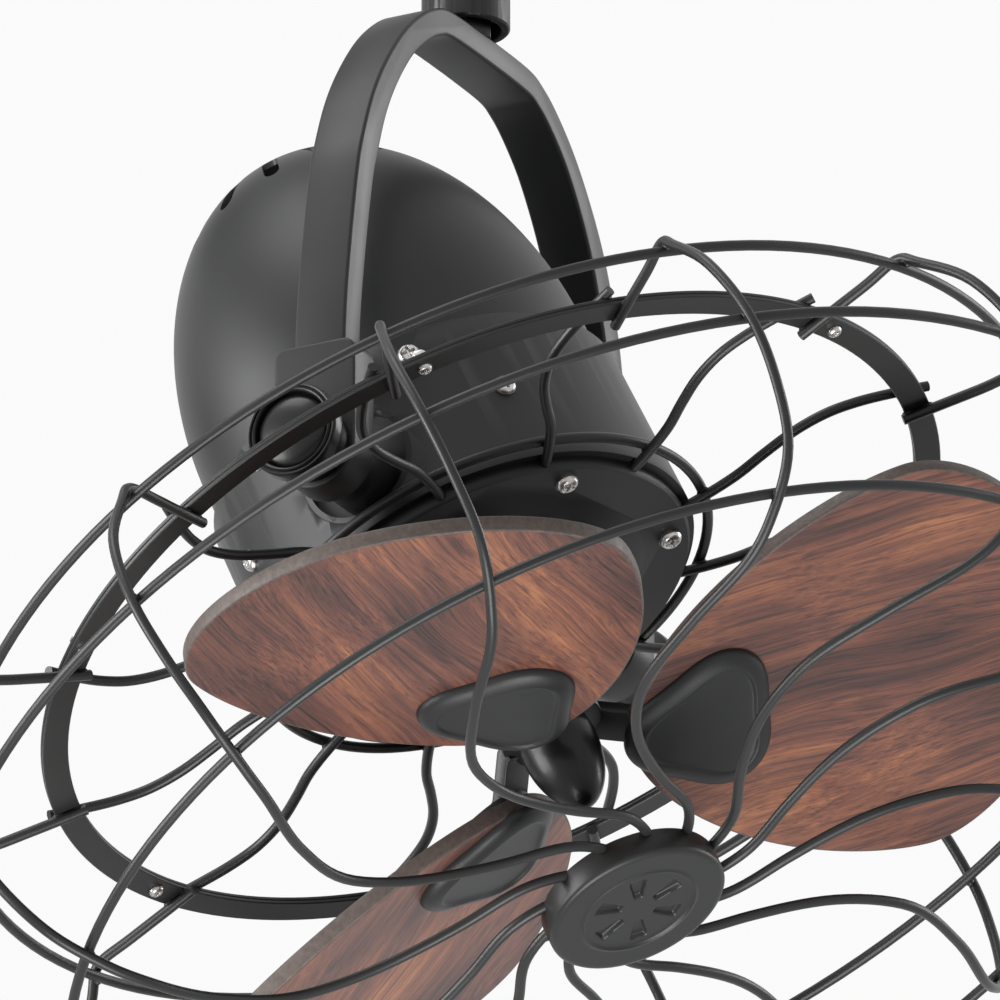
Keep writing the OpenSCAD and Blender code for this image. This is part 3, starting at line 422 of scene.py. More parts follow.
# %% Colour, gloss and relief of the wood
tone = math_node(wood, "MULTIPLY", figure, 0.44)
for layer, share in ((streaks, 0.22), (fibres, 0.16), (clouds, 0.44)):
    tone = math_node(wood, "ADD", tone, math_node(wood, "MULTIPLY", layer, share))
tone = math_node(wood, "SUBTRACT", tone, remap(wood, lines, 0.50, 0.72, 0.0, 0.10))
veneer = ramp(wood, remap(wood, tone, 0.44, 0.80, 0.0, 1.0), [
    (0.0, (0.014, 0.007, 0.007)), (0.20, (0.042, 0.016, 0.013)), (0.42, (0.088, 0.031, 0.022)),
    (0.60, (0.140, 0.050, 0.031)), (0.78, (0.215, 0.080, 0.042)), (0.92, (0.320, 0.128, 0.058)),
    (1.0, (0.230, 0.090, 0.045))])
pore_mask = remap(wood, pores, 0.58, 0.72, 0.0, 0.6)
darker = node(wood, "ShaderNodeMix", data_type="RGBA")
wood.links.new(pore_mask, darker.inputs["Factor"])
wood.links.new(veneer, darker.inputs["A"])
darker.inputs["B"].default_value = (0.022, 0.010, 0.008, 1)
relief = math_node(wood, "SUBTRACT", fibres, math_node(wood, "MULTIPLY", pore_mask, 0.6))
wood.links.new(darker.outputs["Result"], wood_out.inputs["Color"])
wood.links.new(remap(wood, fibres, 0.3, 0.7, 0.52, 0.40), wood_out.inputs["Roughness"])
wood.links.new(bumped(wood, relief, 0.16, 0.0003), wood_out.inputs["Normal"])
print("wood grain nodes:", len(wood.nodes))

# %% [markdown]
# The grain runs along each blade, so every blade has its own material, in which a Mapping node turns the
# object coordinates into the blade's frame and shifts them to another part of the board. The cut edge of the
# blades isn't veneered and shows the grey brown laminate.

# %% Wood of one blade, and the laminate
def blade_wood(name, place, shift):
    m, t, b, object_place = new_material(name)
    turn = node(t, "ShaderNodeMapping")
    turn.inputs["Rotation"].default_value = place.to_3x3().normalized().inverted().to_euler()
    turn.inputs["Location"].default_value = shift
    t.links.new(object_place, turn.inputs["Vector"])
    g = node(t, "ShaderNodeGroup", node_tree=wood)
    t.links.new(turn.outputs["Vector"], g.inputs["Vector"])
    for key, socket in (("Color", "Base Color"), ("Roughness", "Roughness"), ("Normal", "Normal")):
        t.links.new(g.outputs[key], b.inputs[socket])
    b.inputs["Coat Weight"].default_value = 0.18
    b.inputs["Coat Roughness"].default_value = 0.38
    return m


laminate, lt, lb, edge_place = new_material("laminate_edge")
grit = noise(lt, edge_place, 420, 4, 0.7)
layers = ramp(lt, grit, [(0.35, (0.062, 0.045, 0.038)), (0.65, (0.100, 0.075, 0.065))])
lt.links.new(layers, lb.inputs["Base Color"])
lt.links.new(remap(lt, grit, 0.3, 0.7, 0.62, 0.5), lb.inputs["Roughness"])
lt.links.new(bumped(lt, noise(lt, edge_place, 1400, 2), 0.12, 0.0002), lb.inputs["Normal"])
print("edge finish:", laminate.name)

# %% [markdown]
# Every new piece goes the same way: a bmesh is shaped in millimetres in the frame of its head or yoke, moved
# to its place by a matrix, and becomes one object at the world's origin. It replaces one CAD node, so it
# rides on that node's body and hides the node. It takes the finishes it is given. Edges sharper than a set
# angle stay crisp.

# %% Turn a bmesh into a riding piece
def finish_piece(name, bm, place, mats, node_name, sharp):
    bmesh.ops.remove_doubles(bm, verts=bm.verts, dist=0.0005)
    bmesh.ops.recalc_face_normals(bm, faces=bm.faces)
    bm.transform(place)
    me = bpy.data.meshes.new(name)
    bm.to_mesh(me)
    bm.free()
    for m in mats:
        me.materials.append(m)
    me.polygons.foreach_set("use_smooth", [True] * len(me.polygons))
    me.set_sharp_from_angle(angle=math.radians(sharp))
    o = bpy.data.objects.new(name, me)
    bpy.context.collection.objects.link(o)
    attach(o, body_of[node_name])
    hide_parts(node_name)


def put(bm, part, place=Matrix()):
    """Adds a finished part to a bigger bmesh, at a place."""
    part.transform(place)
    me = bpy.data.meshes.new("part")
    part.to_mesh(me)
    part.free()
    bm.from_mesh(me)
    bpy.data.meshes.remove(me)


# %% [markdown]
# The front guard is the fan's signature. Twelve wires leave the medallion in an S curve, run out over the
# flat face, roll over the widest ring and come back along the band, where they are welded. Each path is
# written as radius, distance in front of the pivot and angle, the same three numbers as in the CAD source,
# and a smooth curve is laid through these knots.

# %% Paths of the guard wires
WIRE_COUNT = 12
WIRE_PHASE = 12.5
WIRE_STEPS = 7
TIP_S = 27.9
FACE_S = 154.0
SPOKE_S = 21.5
FRONT_WIRE = [
    (30, FACE_S, -2), (44, FACE_S, 11.5), (62, FACE_S, 30), (88, FACE_S, 39.5), (122, FACE_S + 1.3, 40.5),
    (156, FACE_S + 2.7, 34.5), (184, FACE_S + 1.8, 29), (203, FACE_S - 4.2, 26.5), (222, 136, 24.8),
    (233, 112, 24.5), (236, 86, 24.6), (228, 57, 24.8), (211.5, 35, 24.5), (204, TIP_S, 24.3),
    (188, TIP_S, 24.6), (159.2, TIP_S, 25.7)]
REAR_SPOKE = [
    (172.2, 15.8), (161.5, 13.9), (148, 11.5), (136, 10.1), (123, 10.2),
    (110, 11.9), (98, 14.3), (85.8, 15.9), (76.2, 16.8)]


def bend(a, b, c, d, t):
    """A point between b and c on a smooth curve that also heeds a and d."""
    square = (2 * a - 5 * b + 4 * c - d) * t * t
    cube = (3 * b - a - 3 * c + d) * t ** 3
    return 0.5 * (2 * b + (c - a) * t + square + cube)


def curve(knots, steps):
    """A smooth curve through knots of any dimension."""
    out = []
    last = len(knots) - 1
    for i in range(last):
        near = (knots[max(i - 1, 0)], knots[i], knots[i + 1], knots[min(i + 2, last)])
        for k in range(steps):
            out.append([bend(*values, k / steps) for values in zip(*near)])
    out.append(list(knots[last]))
    return out


def polar(r, s, angle):
    a = math.radians(angle)
    return Vector((r * math.cos(a), r * math.sin(a), -s))


front_rs = curve(FRONT_WIRE, WIRE_STEPS)
front_path = [polar(r, s, WIRE_PHASE - turn) for r, s, turn in front_rs]
spoke_path = [polar(r, SPOKE_S, a) for r, a in curve(REAR_SPOKE, 5)]
print("points of a front wire:", len(front_path), "of a spoke:", len(spoke_path))

# %% [markdown]
# A curve with a round bevel makes the wire, cut square at its ends as a wire cutter leaves it. It is made
# once, and spin copies it round the axis.

# %% Wires and spokes
WIRE_R = 1.9


def wire(points):
    """A round wire along points, as a bmesh."""
    c = bpy.data.curves.new("wire", "CURVE")
    c.dimensions = "3D"
    c.bevel_depth = WIRE_R
    c.bevel_resolution = 3
    c.use_fill_caps = True
    s = c.splines.new("POLY")
    s.points.add(len(points) - 1)
    for q, p in zip(s.points, points):
        q.co = (*p, 1)
    o = bpy.data.objects.new("wire", c)
    me = bpy.data.meshes.new_from_object(o)
    bm = bmesh.new()
    bm.from_mesh(me)
    bpy.data.objects.remove(o)
    bpy.data.curves.remove(c)
    bpy.data.meshes.remove(me)
    return bm


def repeated(bm, count):
    """Copies everything in a bmesh round Z until there are count of it."""
    bmesh.ops.spin(bm, geom=bm.verts[:] + bm.edges[:] + bm.faces[:], cent=(0, 0, 0), axis=(0, 0, 1),
                   angle=2 * math.pi * (count - 1) / count, steps=count - 1, use_duplicate=True)
    return bm


for side in SIDES:
    for name, path, node_name in (("guard_wires_", front_path, "front_wires_"),
                                  ("guard_spokes_", spoke_path, "rear_spokes_")):
        finish_piece(name + side, repeated(wire(path), WIRE_COUNT), head_place(side), [MAT["guard_coat"]],
                     node_name + side, 50)
print("wires per guard:", 2 * WIRE_COUNT)

# %% [markdown]
# Most round parts are turned, pressed or rolled, so their half profile is drawn once and spun round the axis.
# A full spin merges its last row into its first.

# %% Spin a profile
def spun(profile, steps, closed=False):
    """Spins (radius, height) points round Z."""
    bm = bmesh.new()
    verts = [bm.verts.new((r, 0, z)) for r, z in profile]
    pairs = list(zip(verts, verts[1:])) + ([(verts[-1], verts[0])] if closed else [])
    edges = [bm.edges.new(p) for p in pairs]
    bmesh.ops.spin(bm, geom=verts + edges, cent=(0, 0, 0), axis=(0, 0, 1), angle=2 * math.pi, steps=steps,
                   use_merge=True)
    bmesh.ops.remove_doubles(bm, verts=bm.verts, dist=0.0005)
    return bm


def arc(cx, cy, r, start, end, n):
    """Points on a circle, between two angles in degrees."""
    angles = [math.radians(start + (end - start) * k / n) for k in range(n + 1)]
    return [(cx + r * math.cos(a), cy + r * math.sin(a)) for a in angles]


# %% [markdown]
# Rings hold the wires at their spacing. The round ones lie inside the wires, and two flat bands meet where
# the front and the rear guard are screwed together. Their edges are slightly rounded, which draws the dark
# line between them. Every crossing is spot welded, and the weld leaves a small flattened bead.

# %% Rings, bands and beads
WELD = 0.3
BAND_R = 170.2
BAND_W = 9.5
BAND_T = 1.6
BAND_EDGE = 0.35
REAR_BAND_S = SPOKE_S + WIRE_R - WELD
FRONT_BAND_S = REAR_BAND_S + BAND_T


def wire_ring(r, s):
    return spun(arc(r, -s, WIRE_R, 0, 360, 16)[:-1], 144, closed=True)


def flat_band(s):
    inner, outer = BAND_R - BAND_W, BAND_R
    top, bottom, c = -s, -s - BAND_T, BAND_EDGE
    section = [(inner, top - c), (inner + c, top), (outer - c, top), (outer, top - c),
               (outer, bottom + c), (outer - c, bottom), (inner + c, bottom), (inner, bottom + c)]
    return spun(section, 192, closed=True)


def bead(place, direction, size=2.1):
    """A weld bead: a ball pressed flat, longer along the joint."""
    bm = bmesh.new()
    bmesh.ops.create_icosphere(bm, subdivisions=2, radius=size)
    bmesh.ops.scale(bm, vec=(1.35, 0.85, 0.75), verts=bm.verts)
    bm.transform(Matrix.Translation(place) @ direction.to_track_quat("X", "Z").to_matrix().to_4x4())
    return bm


print("front band lies", round(FRONT_BAND_S, 2), "mm in front of the pivot")

# %% [markdown]
# The front guard has three round rings. Each lies against the inner side of the wires, so its place is worked
# out from the wire's path: a little less than one wire's thickness away from it, square to its direction.

# %% Front rings
RING_KNOTS = (7.42, 10, 12.55)


def on_wire(t):
    """Places of the wire and of a ring inside it, the wire's direction, and its angle, at knot t."""
    i = int(t * WIRE_STEPS)
    here, ahead, behind = (Vector(front_rs[k][:2]) for k in (i, i + 1, i - 1))
    way = (ahead - behind).normalized()
    ring = here + Vector((way.y, -way.x)) * (2 * WIRE_R - WELD)
    return front_path[i], ring, (front_path[i + 1] - front_path[i - 1]).normalized(), front_rs[i][2]


for side in SIDES:
    bm = flat_band(FRONT_BAND_S)
    beads = bmesh.new()
    for t in RING_KNOTS:
        p, ring, direction, turn = on_wire(t)
        put(bm, wire_ring(ring.x, ring.y))
        put(beads, bead((p + polar(ring.x, ring.y, WIRE_PHASE - turn)) / 2, direction))
    for r in (BAND_R - 1.2, BAND_R - BAND_W + 1.2):
        near = min(range(len(front_rs) - 20, len(front_rs)), key=lambda i: abs(front_rs[i][0] - r))
        end = polar(r, TIP_S - 1.6, WIRE_PHASE - front_rs[near][2])
        put(beads, bead(end, (front_path[near] - front_path[near - 1]).normalized(), 1.9))
    put(bm, repeated(beads, WIRE_COUNT))
    finish_piece("guard_front_rings_" + side, bm, head_place(side), [MAT["guard_coat"]],
                 "front_rings_" + side, 40)
print("front rings:", len(RING_KNOTS), "and a band")

# %% Rear rings
INNER_RING_R = 84.8
INNER_RING_S = SPOKE_S - 2 * WIRE_R + WELD

for side in SIDES:
    bm = flat_band(REAR_BAND_S)
    put(bm, wire_ring(INNER_RING_R, INNER_RING_S))
    beads = bmesh.new()
    inward = (spoke_path[-1] - spoke_path[-4]).normalized()
    outward = (spoke_path[0] - spoke_path[3]).normalized()
    put(beads, bead(polar(INNER_RING_R, SPOKE_S - WIRE_R, 16.0), inward, 1.8))
    for r, a in ((BAND_R - 2.4, 15.1), (BAND_R - BAND_W + 1.6, 14.0)):
        put(beads, bead(polar(r, SPOKE_S + 1.5, a), outward, 1.6))
    put(bm, repeated(beads, WIRE_COUNT))
    finish_piece("guard_rear_rings_" + side, bm, head_place(side), [MAT["guard_coat"]],
                 "rear_rings_" + side, 40)
print("rear ring radius:", INNER_RING_R)

# %% [markdown]
# Flat parts start as an outline that is extruded to its thickness, as a plate is cut from sheet. Their sharp
# edges are then bevelled, because no real edge is perfectly sharp and the bevel is what catches the light.

# %% Cut a plate, round its edges
def cut_out(outline, thickness):
    """A plate from an outline of (x, y) points, from z = 0 up."""
    bm = bmesh.new()
    face = bm.faces.new([bm.verts.new((x, y, 0)) for x, y in outline])
    return raised(bm, [face], thickness)


def raised(bm, faces, thickness):
    """Extrudes flat faces up by a thickness."""
    grown = bmesh.ops.extrude_face_region(bm, geom=faces)["geom"]
    tops = [v for v in grown if isinstance(v, bmesh.types.BMVert)]
    bmesh.ops.translate(bm, verts=tops, vec=(0, 0, thickness))
    bmesh.ops.recalc_face_normals(bm, faces=bm.faces)
    return bm


def rounded(bm, radius, segments=3, angle=40):
    """Rounds the edges that are sharper than an angle."""
    bm.normal_update()
    rims = [e for e in bm.edges if len(e.link_faces) == 2 and e.calc_face_angle(0) > math.radians(angle)]
    bmesh.ops.bevel(bm, geom=rims, offset=radius, offset_type="OFFSET", segments=segments, profile=0.5,
                    affect="EDGES", material=-1, clamp_overlap=True)
    return bm


# %% [markdown]
# The blades are cut from laminated board. Their outline is an egg made of two half superellipses, a blunt one
# outwards and a longer one to the root. A small bevel breaks the cut edge, as sanding does, and an inset
# keeps the broad faces flat in the shading.

# %% Blades
BLADE_T = 6
BLADE_MID = 135
BLADE_OUT = 59.5
BLADE_ROOT = 111
BLADE_HALF_W = 83
OUT_POWER = 1.8
ROOT_POWER = 1.63
BOARD_SHIFTS = [(0.0, 0.0, 0.0), (0.31, 0.17, 0.05), (0.62, 0.41, 0.11)]


def egg(n=160):
    points = []
    for k in range(n):
        w = 2 * math.pi * k / n
        c, s = math.cos(w), math.sin(w)
        e = 2 / OUT_POWER if c >= 0 else 2 / ROOT_POWER
        reach = BLADE_OUT if c >= 0 else -BLADE_ROOT
        points.append((BLADE_MID + reach * abs(c) ** e, math.copysign(BLADE_HALF_W * abs(s) ** e, s)))
    return points


def blade_board():
    bm = cut_out(egg(), BLADE_T)
    bmesh.ops.translate(bm, verts=bm.verts, vec=(0, 0, -BLADE_T / 2))
    rounded(bm, 0.8)
    bm.normal_update()
    broad_faces = [f for f in bm.faces if abs(f.normal.z) > 0.999]
    for f in bm.faces:
        f.material_index = 0 if abs(f.normal.z) > 0.999 else 1
    for f in broad_faces:
        bmesh.ops.inset_region(bm, faces=[f], thickness=1.6, use_even_offset=True)
    return bm


for side in SIDES:
    for i, shift in enumerate(BOARD_SHIFTS):
        place = head_place(side) @ blade_in_head(i)
        which = "%d_%s" % (i + 1, side)
        grain = blade_wood("wood_" + which, place, shift)
        finish_piece("wood_blade_" + which, blade_board(), place, [grain, laminate], "blade_" + which, 30)
print("blade outline points:", len(egg()))

# %% [markdown]
# Each blade is covered at its root by a pressed cap with three round corners. It has a broad rounded
# shoulder, a fine raised line and a flat panel inside. A circle is pulled into the three cornered outline,
# and insets with a height of their own then build the pressed profile from the edge inwards.

# %% Blade caps
CAP_MID = 52.5
CAP_R = 27.5
CAP_LOBE = 3.5
PRESS = [(0.05, 0.8), (0.3, 1.0), (0.65, 1.0), (1.2, 0.9), (1.6, 0.8), (1.4, 0.4), (0.7, 0.1), (0.5, -0.15),
         (0.4, -0.55), (0.5, -0.25), (0.7, -0.05), (2.5, 0.0)]


def cap_outline(w, margin=0):
    """A point of the cap's outline at angle w, or that far inside it."""
    r = CAP_R - margin - CAP_LOBE * math.cos(3 * w)
    return CAP_MID + r * math.cos(w), r * math.sin(w)


def pressed_cap():
    bm = bmesh.new()
    bmesh.ops.create_circle(bm, cap_ends=True, segments=120, radius=1)
    for v in bm.verts:
        v.co = (*cap_outline(math.atan2(v.co.y, v.co.x)), -BLADE_T / 2)
    bm.normal_update()
    bm.faces.ensure_lookup_table()
    top = bm.faces[0]
    if top.normal.z > 0:
        bmesh.ops.reverse_faces(bm, faces=[top])
    bmesh.ops.duplicate(bm, geom=[top])
    for inwards, height in PRESS:
        bmesh.ops.inset_region(bm, faces=[top], thickness=inwards, depth=height, use_even_offset=True,
                               use_boundary=True)
    bmesh.ops.remove_doubles(bm, verts=bm.verts, dist=0.0005)
    return bm


for side in SIDES:
    bm = bmesh.new()
    for i in range(BLADE_COUNT):
        put(bm, pressed_cap(), blade_in_head(i))
    finish_piece("blade_covers_" + side, bm, head_place(side), [MAT["black_coat"]], "blade_caps_" + side, 40)
print("press steps:", len(PRESS))

# %% [markdown]
# Behind the blades a cast bracket holds them: a short hub on the shaft, and three arms that end in plates of
# the caps' own shape. The arm's side profile is drawn once and extruded to its width, and all its edges are
# rounded, as a casting's are. It is narrower than the solid in the CAD source and stays inside it.

# %% Blade bracket
HUB_R = 19
HUB_BORE = 5.2
HUB_REAR = 74
HUB_FRONT = 82
PLATE_T = 3
PLATE_MARGIN = 4
ARM_W = 14
ARM_SIDE = [(14, 12.0), (14, 18.0), (17, 18.0), (32, 7.6), (44, 5.5), (44, 4.0), (28, 4.0), (16.5, 12.0)]
HUB = [(HUB_BORE, -HUB_FRONT), (HUB_R - 1, -HUB_FRONT), (HUB_R - 0.3, 0.3 - HUB_FRONT),
       (HUB_R, 1 - HUB_FRONT), (HUB_R, -HUB_REAR - 1), (HUB_R - 0.3, -HUB_REAR - 0.3),
       (HUB_R - 1, -HUB_REAR), (HUB_BORE, -HUB_REAR)]


def bracket_plate(n=72):
    bm = cut_out([cap_outline(2 * math.pi * k / n, PLATE_MARGIN) for k in range(n)], PLATE_T)
    bmesh.ops.translate(bm, verts=bm.verts, vec=(0, 0, BLADE_T / 2))
    return rounded(bm, 0.8, 2)


def bracket_arm():
    """The side profile stood up, so that its width runs across the arm."""
    bm = rounded(cut_out(ARM_SIDE, ARM_W), 1.3, 3, 20)
    bm.transform(Matrix(((1, 0, 0, 0), (0, 0, -1, ARM_W / 2), (0, 1, 0, 0), (0, 0, 0, 1))))
    return bm


for side in SIDES:
    bm = spun(HUB, 72, closed=True)
    for i in range(BLADE_COUNT):
        put(bm, bracket_plate(), blade_in_head(i))
        put(bm, bracket_arm(), blade_in_head(i))
    finish_piece("bracket_arms_" + side, bm, head_place(side), [MAT["black_coat"]],
                 "blade_bracket_" + side, 40)
print("arm profile points:", len(ARM_SIDE))

# %% [markdown]
# The medallion is a thick disc with a pressed ring and six wedge shaped recesses. It is spun with many fine
# rows on its front, and each point of the front is then moved by a plain function of its radius and angle,
# so that the pressed edges come out soft.

# %% Medallion
MEDAL_FRONT = 163.6
MEDAL_ROWS = 76
RING_R = 21.4
RING_H = 0.6
PANEL_R = 22.0
PANEL_DEPTH = 0.45
WEDGES = 6
WEDGE_DEPTH = 1.7
WEDGE_FROM = 6.6
WEDGE_TO = 17.8
WEDGE_HALF_W = 1.9
WEDGE_FLARE = 0.16
MEDAL =[(0, -150.5), (28.4, -150.5), (28.4, -153.0), (32.2, -153.0), (32.7, -153.2), (33.0, -153.8),
         (33.0, -161.6), (32.8, -162.5), (32.2, -163.2), (31.4, -163.5)]
MEDAL += [(30.6 - 0.4 * k, -MEDAL_FRONT) for k in range(MEDAL_ROWS)] + [(0, -MEDAL_FRONT)]


def step(x, low, high):
    """A smooth rise from 0 to 1 between low and high."""
    t = min(max((x - low) / (high - low), 0.0), 1.0)
    return t * t * (3 - 2 * t)


def pressed(r, a):
    """Height of the medallion's front above its flat, from radius and angle."""
    ring = math.exp(-((r - RING_R) / 0.6) ** 2) * RING_H
    sector = (a + math.pi / WEDGES) % (2 * math.pi / WEDGES) - math.pi / WEDGES
    x, y = r * math.cos(sector), r * math.sin(sector)
    half = WEDGE_HALF_W + (x - 7) * WEDGE_FLARE
    inside = step(half - abs(y), 0, 1.1) * step(x - WEDGE_FROM, 0, 1.2) * step(WEDGE_TO - x, 0, 1.2)
    return ring - WEDGE_DEPTH * inside - PANEL_DEPTH * step(PANEL_R - r, 0, 1.5)


for side in SIDES:
    bm = spun(MEDAL, 240)
    for v in bm.verts:
        if abs(v.co.z + MEDAL_FRONT) < 0.001:
            v.co.z -= pressed(v.co.xy.length, math.atan2(v.co.y, v.co.x))
    finish_piece("guard_medallion_" + side, bm, head_place(side), [MAT["guard_coat"]],
                 "medallion_" + side, 50)
print("medallion front at", MEDAL_FRONT)

# %% [markdown]
# The spinner that locks the blade bracket on the shaft is a smooth bullet: a short straight skirt, and then a
# nose whose radius falls as a power of the way along it. It is glossier than the rest.

# %% Spinner
NOSE_R = 14
NOSE_FROM = 88
NOSE_LONG = 28
NOSE_STEPS = 24


def nose_radius(share):
    return NOSE_R * (1 - share ** 2.2) ** 0.62 if share < 1 else 0.0


BULLET = [(0, -HUB_FRONT), (12.4, -HUB_FRONT), (13.2, -HUB_FRONT - 0.4), (13.7, -HUB_FRONT - 2)]
for k in range(NOSE_STEPS + 1):
    BULLET.append((nose_radius(k / NOSE_STEPS), -NOSE_FROM - NOSE_LONG * k / NOSE_STEPS))
for side in SIDES:
    finish_piece("bullet_spinner_" + side, spun(BULLET, 72), head_place(side), [MAT["gloss_black"]],
                 "spinner_" + side, 50)
print("spinner ends", NOSE_FROM + NOSE_LONG, "mm in front of the pivot")

# %% [markdown]
# The knobs at the pivots are lathe work too. Each has a neck, a wide rim with a fine groove, and inside the
# rim a round crown that catches a highlight like a ball. A head has one on each side, so the same knob is
# turned to both sides.

# %% Pivot knobs
PAD_OUT = 113
CROWN_R = 13.8
CROWN_FROM = PAD_OUT + 14.2
CROWN_H = 4.8
KNOB = [(r, PAD_OUT + h) for r, h in [
    (0, 0.2), (13.4, 0.2), (13.9, 0.6), (13.9, 6.5), (14.3, 7.6), (16.8, 10.4), (17.4, 11.4), (17.5, 12.2),
    (17.5, 16.0), (17.3, 16.8), (16.8, 17.2), (16.3, 17.1), (16.05, 16.5), (15.75, 16.5), (15.5, 17.2),
    (15.0, 17.5), (14.5, 17.3), (14.2, 16.4), (13.9, 14.6)]]
for k in range(1, 15):
    rise = math.radians(6 * k)
    KNOB.append((CROWN_R * math.cos(rise), CROWN_FROM + CROWN_H * math.sin(rise)))
KNOB.append((0, CROWN_FROM + CROWN_H))
TO_SIDE = {1: turned(-90, "X"), -1: turned(90, "X")}
for side in SIDES:
    bm = bmesh.new()
    for way in TO_SIDE.values():
        put(bm, spun(KNOB, 72), way)
    finish_piece("pivot_knobs_" + side, bm, yoke_place(side), [MAT["gloss_black"]], "pivot_caps_" + side, 50)
print("knob reaches", round(KNOB[-1][1], 1), "mm from the head's middle")

# %% [markdown]
# The motor dome is a pressed shell with a ring of cooling slots near its crown. Its wall is spun inside and
# out in one profile. The slots are cut with a Boolean modifier by one ring of rounded cutters, because on the
# real part they are punched through the finished shell.

# %% Cut one bmesh by another
def loose_object(name, bm):
    bmesh.ops.recalc_face_normals(bm, faces=bm.faces)
    me = bpy.data.meshes.new(name)
    bm.to_mesh(me)
    bm.free()
    o = bpy.data.objects.new(name, me)
    bpy.context.collection.objects.link(o)
    return o


def cut_by(bm, cutter):
    """Boolean difference of two bmeshes."""
    body, tool = loose_object("body", bm), loose_object("tool", cutter)
    mod = body.modifiers.new("cut", "BOOLEAN")
    mod.object, mod.operation, mod.solver = tool, "DIFFERENCE", "EXACT"
    bpy.context.view_layer.update()
    me = bpy.data.meshes.new_from_object(body.evaluated_get(bpy.context.evaluated_depsgraph_get()))
    out = bmesh.new()
    out.from_mesh(me)
    for o in (body, tool):
        spare = o.data
        bpy.data.objects.remove(o)
        bpy.data.meshes.remove(spare)
    bpy.data.meshes.remove(me)
    return out


# %% Motor dome
DOME_R = 73.2
DOME_H = 109
DOME_MID = 65
DOME_RIM = 46.7
DOME_WALL = 2
DOME_STEPS = 40
SLOT_COUNT = 14
SLOT_FROM = 32
SLOT_TO = 45
SLOT_R = 3
CUTTER_FROM = 120
CUTTER_LONG = 60


def dome_half(inner):
    """A quarter of an ellipse from the dome's side to its crown, that far inside its outer face."""
    r, h = DOME_R - inner, DOME_H - inner
    angles = [math.pi / 2 * k / DOME_STEPS for k in range(DOME_STEPS)]
    return [(r * math.cos(w), DOME_MID + h * math.sin(w)) for w in angles] + [(0.0, DOME_MID + h)]


slot_outline = arc(SLOT_TO, 0, SLOT_R, -90, 90, 10) + arc(SLOT_FROM, 0, SLOT_R, 90, 270, 10)
wall = [(DOME_R, DOME_RIM)] + dome_half(0) + dome_half(DOME_WALL)[::-1] + [(DOME_R - DOME_WALL, DOME_RIM)]
for side in SIDES:
    slots = cut_out(slot_outline, CUTTER_LONG)
    bmesh.ops.translate(slots, verts=slots.verts, vec=(0, 0, CUTTER_FROM))
    bm = cut_by(spun(wall, 168, closed=True), repeated(slots, SLOT_COUNT))
    finish_piece("motor_dome_" + side, bm, head_place(side), [MAT["black_coat"]], "dome_" + side, 40)
print("dome slots:", SLOT_COUNT)

# %% [markdown]
# The yoke is one flat bar bent into a stirrup, a little thinner across its top. Its middle line is drawn for
# one half, set off to both sides by half the bar's thickness and mirrored, which gives one closed outline.
# That is extruded to the bar's width and bevelled.

# %% Outline of the yoke
YOKE_W = 20
YOKE_T = 12
YOKE_TOP_T = 10
LEG_END = -8
YOKE_MID = [(0, 191), (28, 190.4), (38.4, 187.6), (48.5, 181.7), (61, 171), (73, 156), (82, 141),
            (88.5, 125), (93.5, 108.6), (99.5, 75), (103, 45), (104, 0), (104, -32)]


def bar_thickness(share):
    """Thickness of the bar, from 0 at the middle of its top to 1 at the end of its leg."""
    return YOKE_TOP_T + (YOKE_T - YOKE_TOP_T) * max(0.0, min(1.0, (share - 0.33) / 0.25))


half = curve(YOKE_MID, 5)
last = len(half) - 1
outer, inner = [], []
for i, (y, z) in enumerate(half):
    y0, z0 = half[max(i - 1, 0)]
    y1, z1 = half[min(i + 1, last)]
    along_bar = Vector((y1 - y0, z1 - z0)).normalized() if i else Vector((1, 0))
    n = Vector((along_bar.y, -along_bar.x)) * bar_thickness(i / last) / 2
    if z > LEG_END:
        outer.append((y - n.x, z - n.y))
        inner.append((y + n.x, z + n.y))
mirrored_in = [(-y, z) for y, z in inner[1:]]
mirrored_out = [(-y, z) for y, z in outer[::-1][:-1]]
stirrup = outer + inner[::-1] + mirrored_in + mirrored_out
print("stirrup outline points:", len(stirrup))

# %% [markdown]
# A thick plate with rounded corners closes each leg, and a boss reaches from it into the pocket of the
# housing. Both are made for one side and turned or mirrored to the other.

# %% Yoke
PAD_IN = 98
PAD_T = PAD_OUT - PAD_IN
PAD_R = 16
PAD_CORNER = 5
PAD_SIDE = PAD_R - PAD_CORNER
PAD_TOP = 34
BOSS =[(0, 72.5), (11.4, 72.5), (12, 73.1), (12, 112), (0, 112)]
BAR_UPRIGHT = Matrix(((0, 0, 1, -YOKE_W / 2), (1, 0, 0, 0), (0, 1, 0, 0), (0, 0, 0, 1)))
PAD_UPRIGHT = Matrix(((1, 0, 0, 0), (0, 0, 1, PAD_IN), (0, 1, 0, 0), (0, 0, 0, 1)))
pad_plate = (arc(PAD_SIDE, PAD_TOP, PAD_CORNER, 0, 90, 8) + arc(-PAD_SIDE, PAD_TOP, PAD_CORNER, 90, 180, 8)
             + arc(0, 0, PAD_R, 180, 360, 40))

for side in SIDES:
    bm = cut_out(stirrup, YOKE_W)
    bm.transform(BAR_UPRIGHT)
    rounded(bm, 1.2, 3, 50)
    for sign, way in TO_SIDE.items():
        plate = rounded(cut_out(pad_plate, PAD_T), 0.9, 3, 50)
        plate.transform(PAD_UPRIGHT)
        put(bm, plate, Matrix.Scale(sign, 4, (0, 1, 0)))
        put(bm, spun(BOSS, 64), way)
    finish_piece("stirrup_" + side, bm, yoke_place(side), [MAT["black_coat"]], "yoke_" + side, 40)
print("yoke plates are", PAD_T, "mm thick")

# %% [markdown]
# Pan head screws catch the light, so each has a low dome with a cross recess. The head is spun with fine
# rows, and the points inside the cross are moved down. Six sit in the motor plate, eight in the shroud, and
# six small ones with nuts clamp the two bands of the guard.

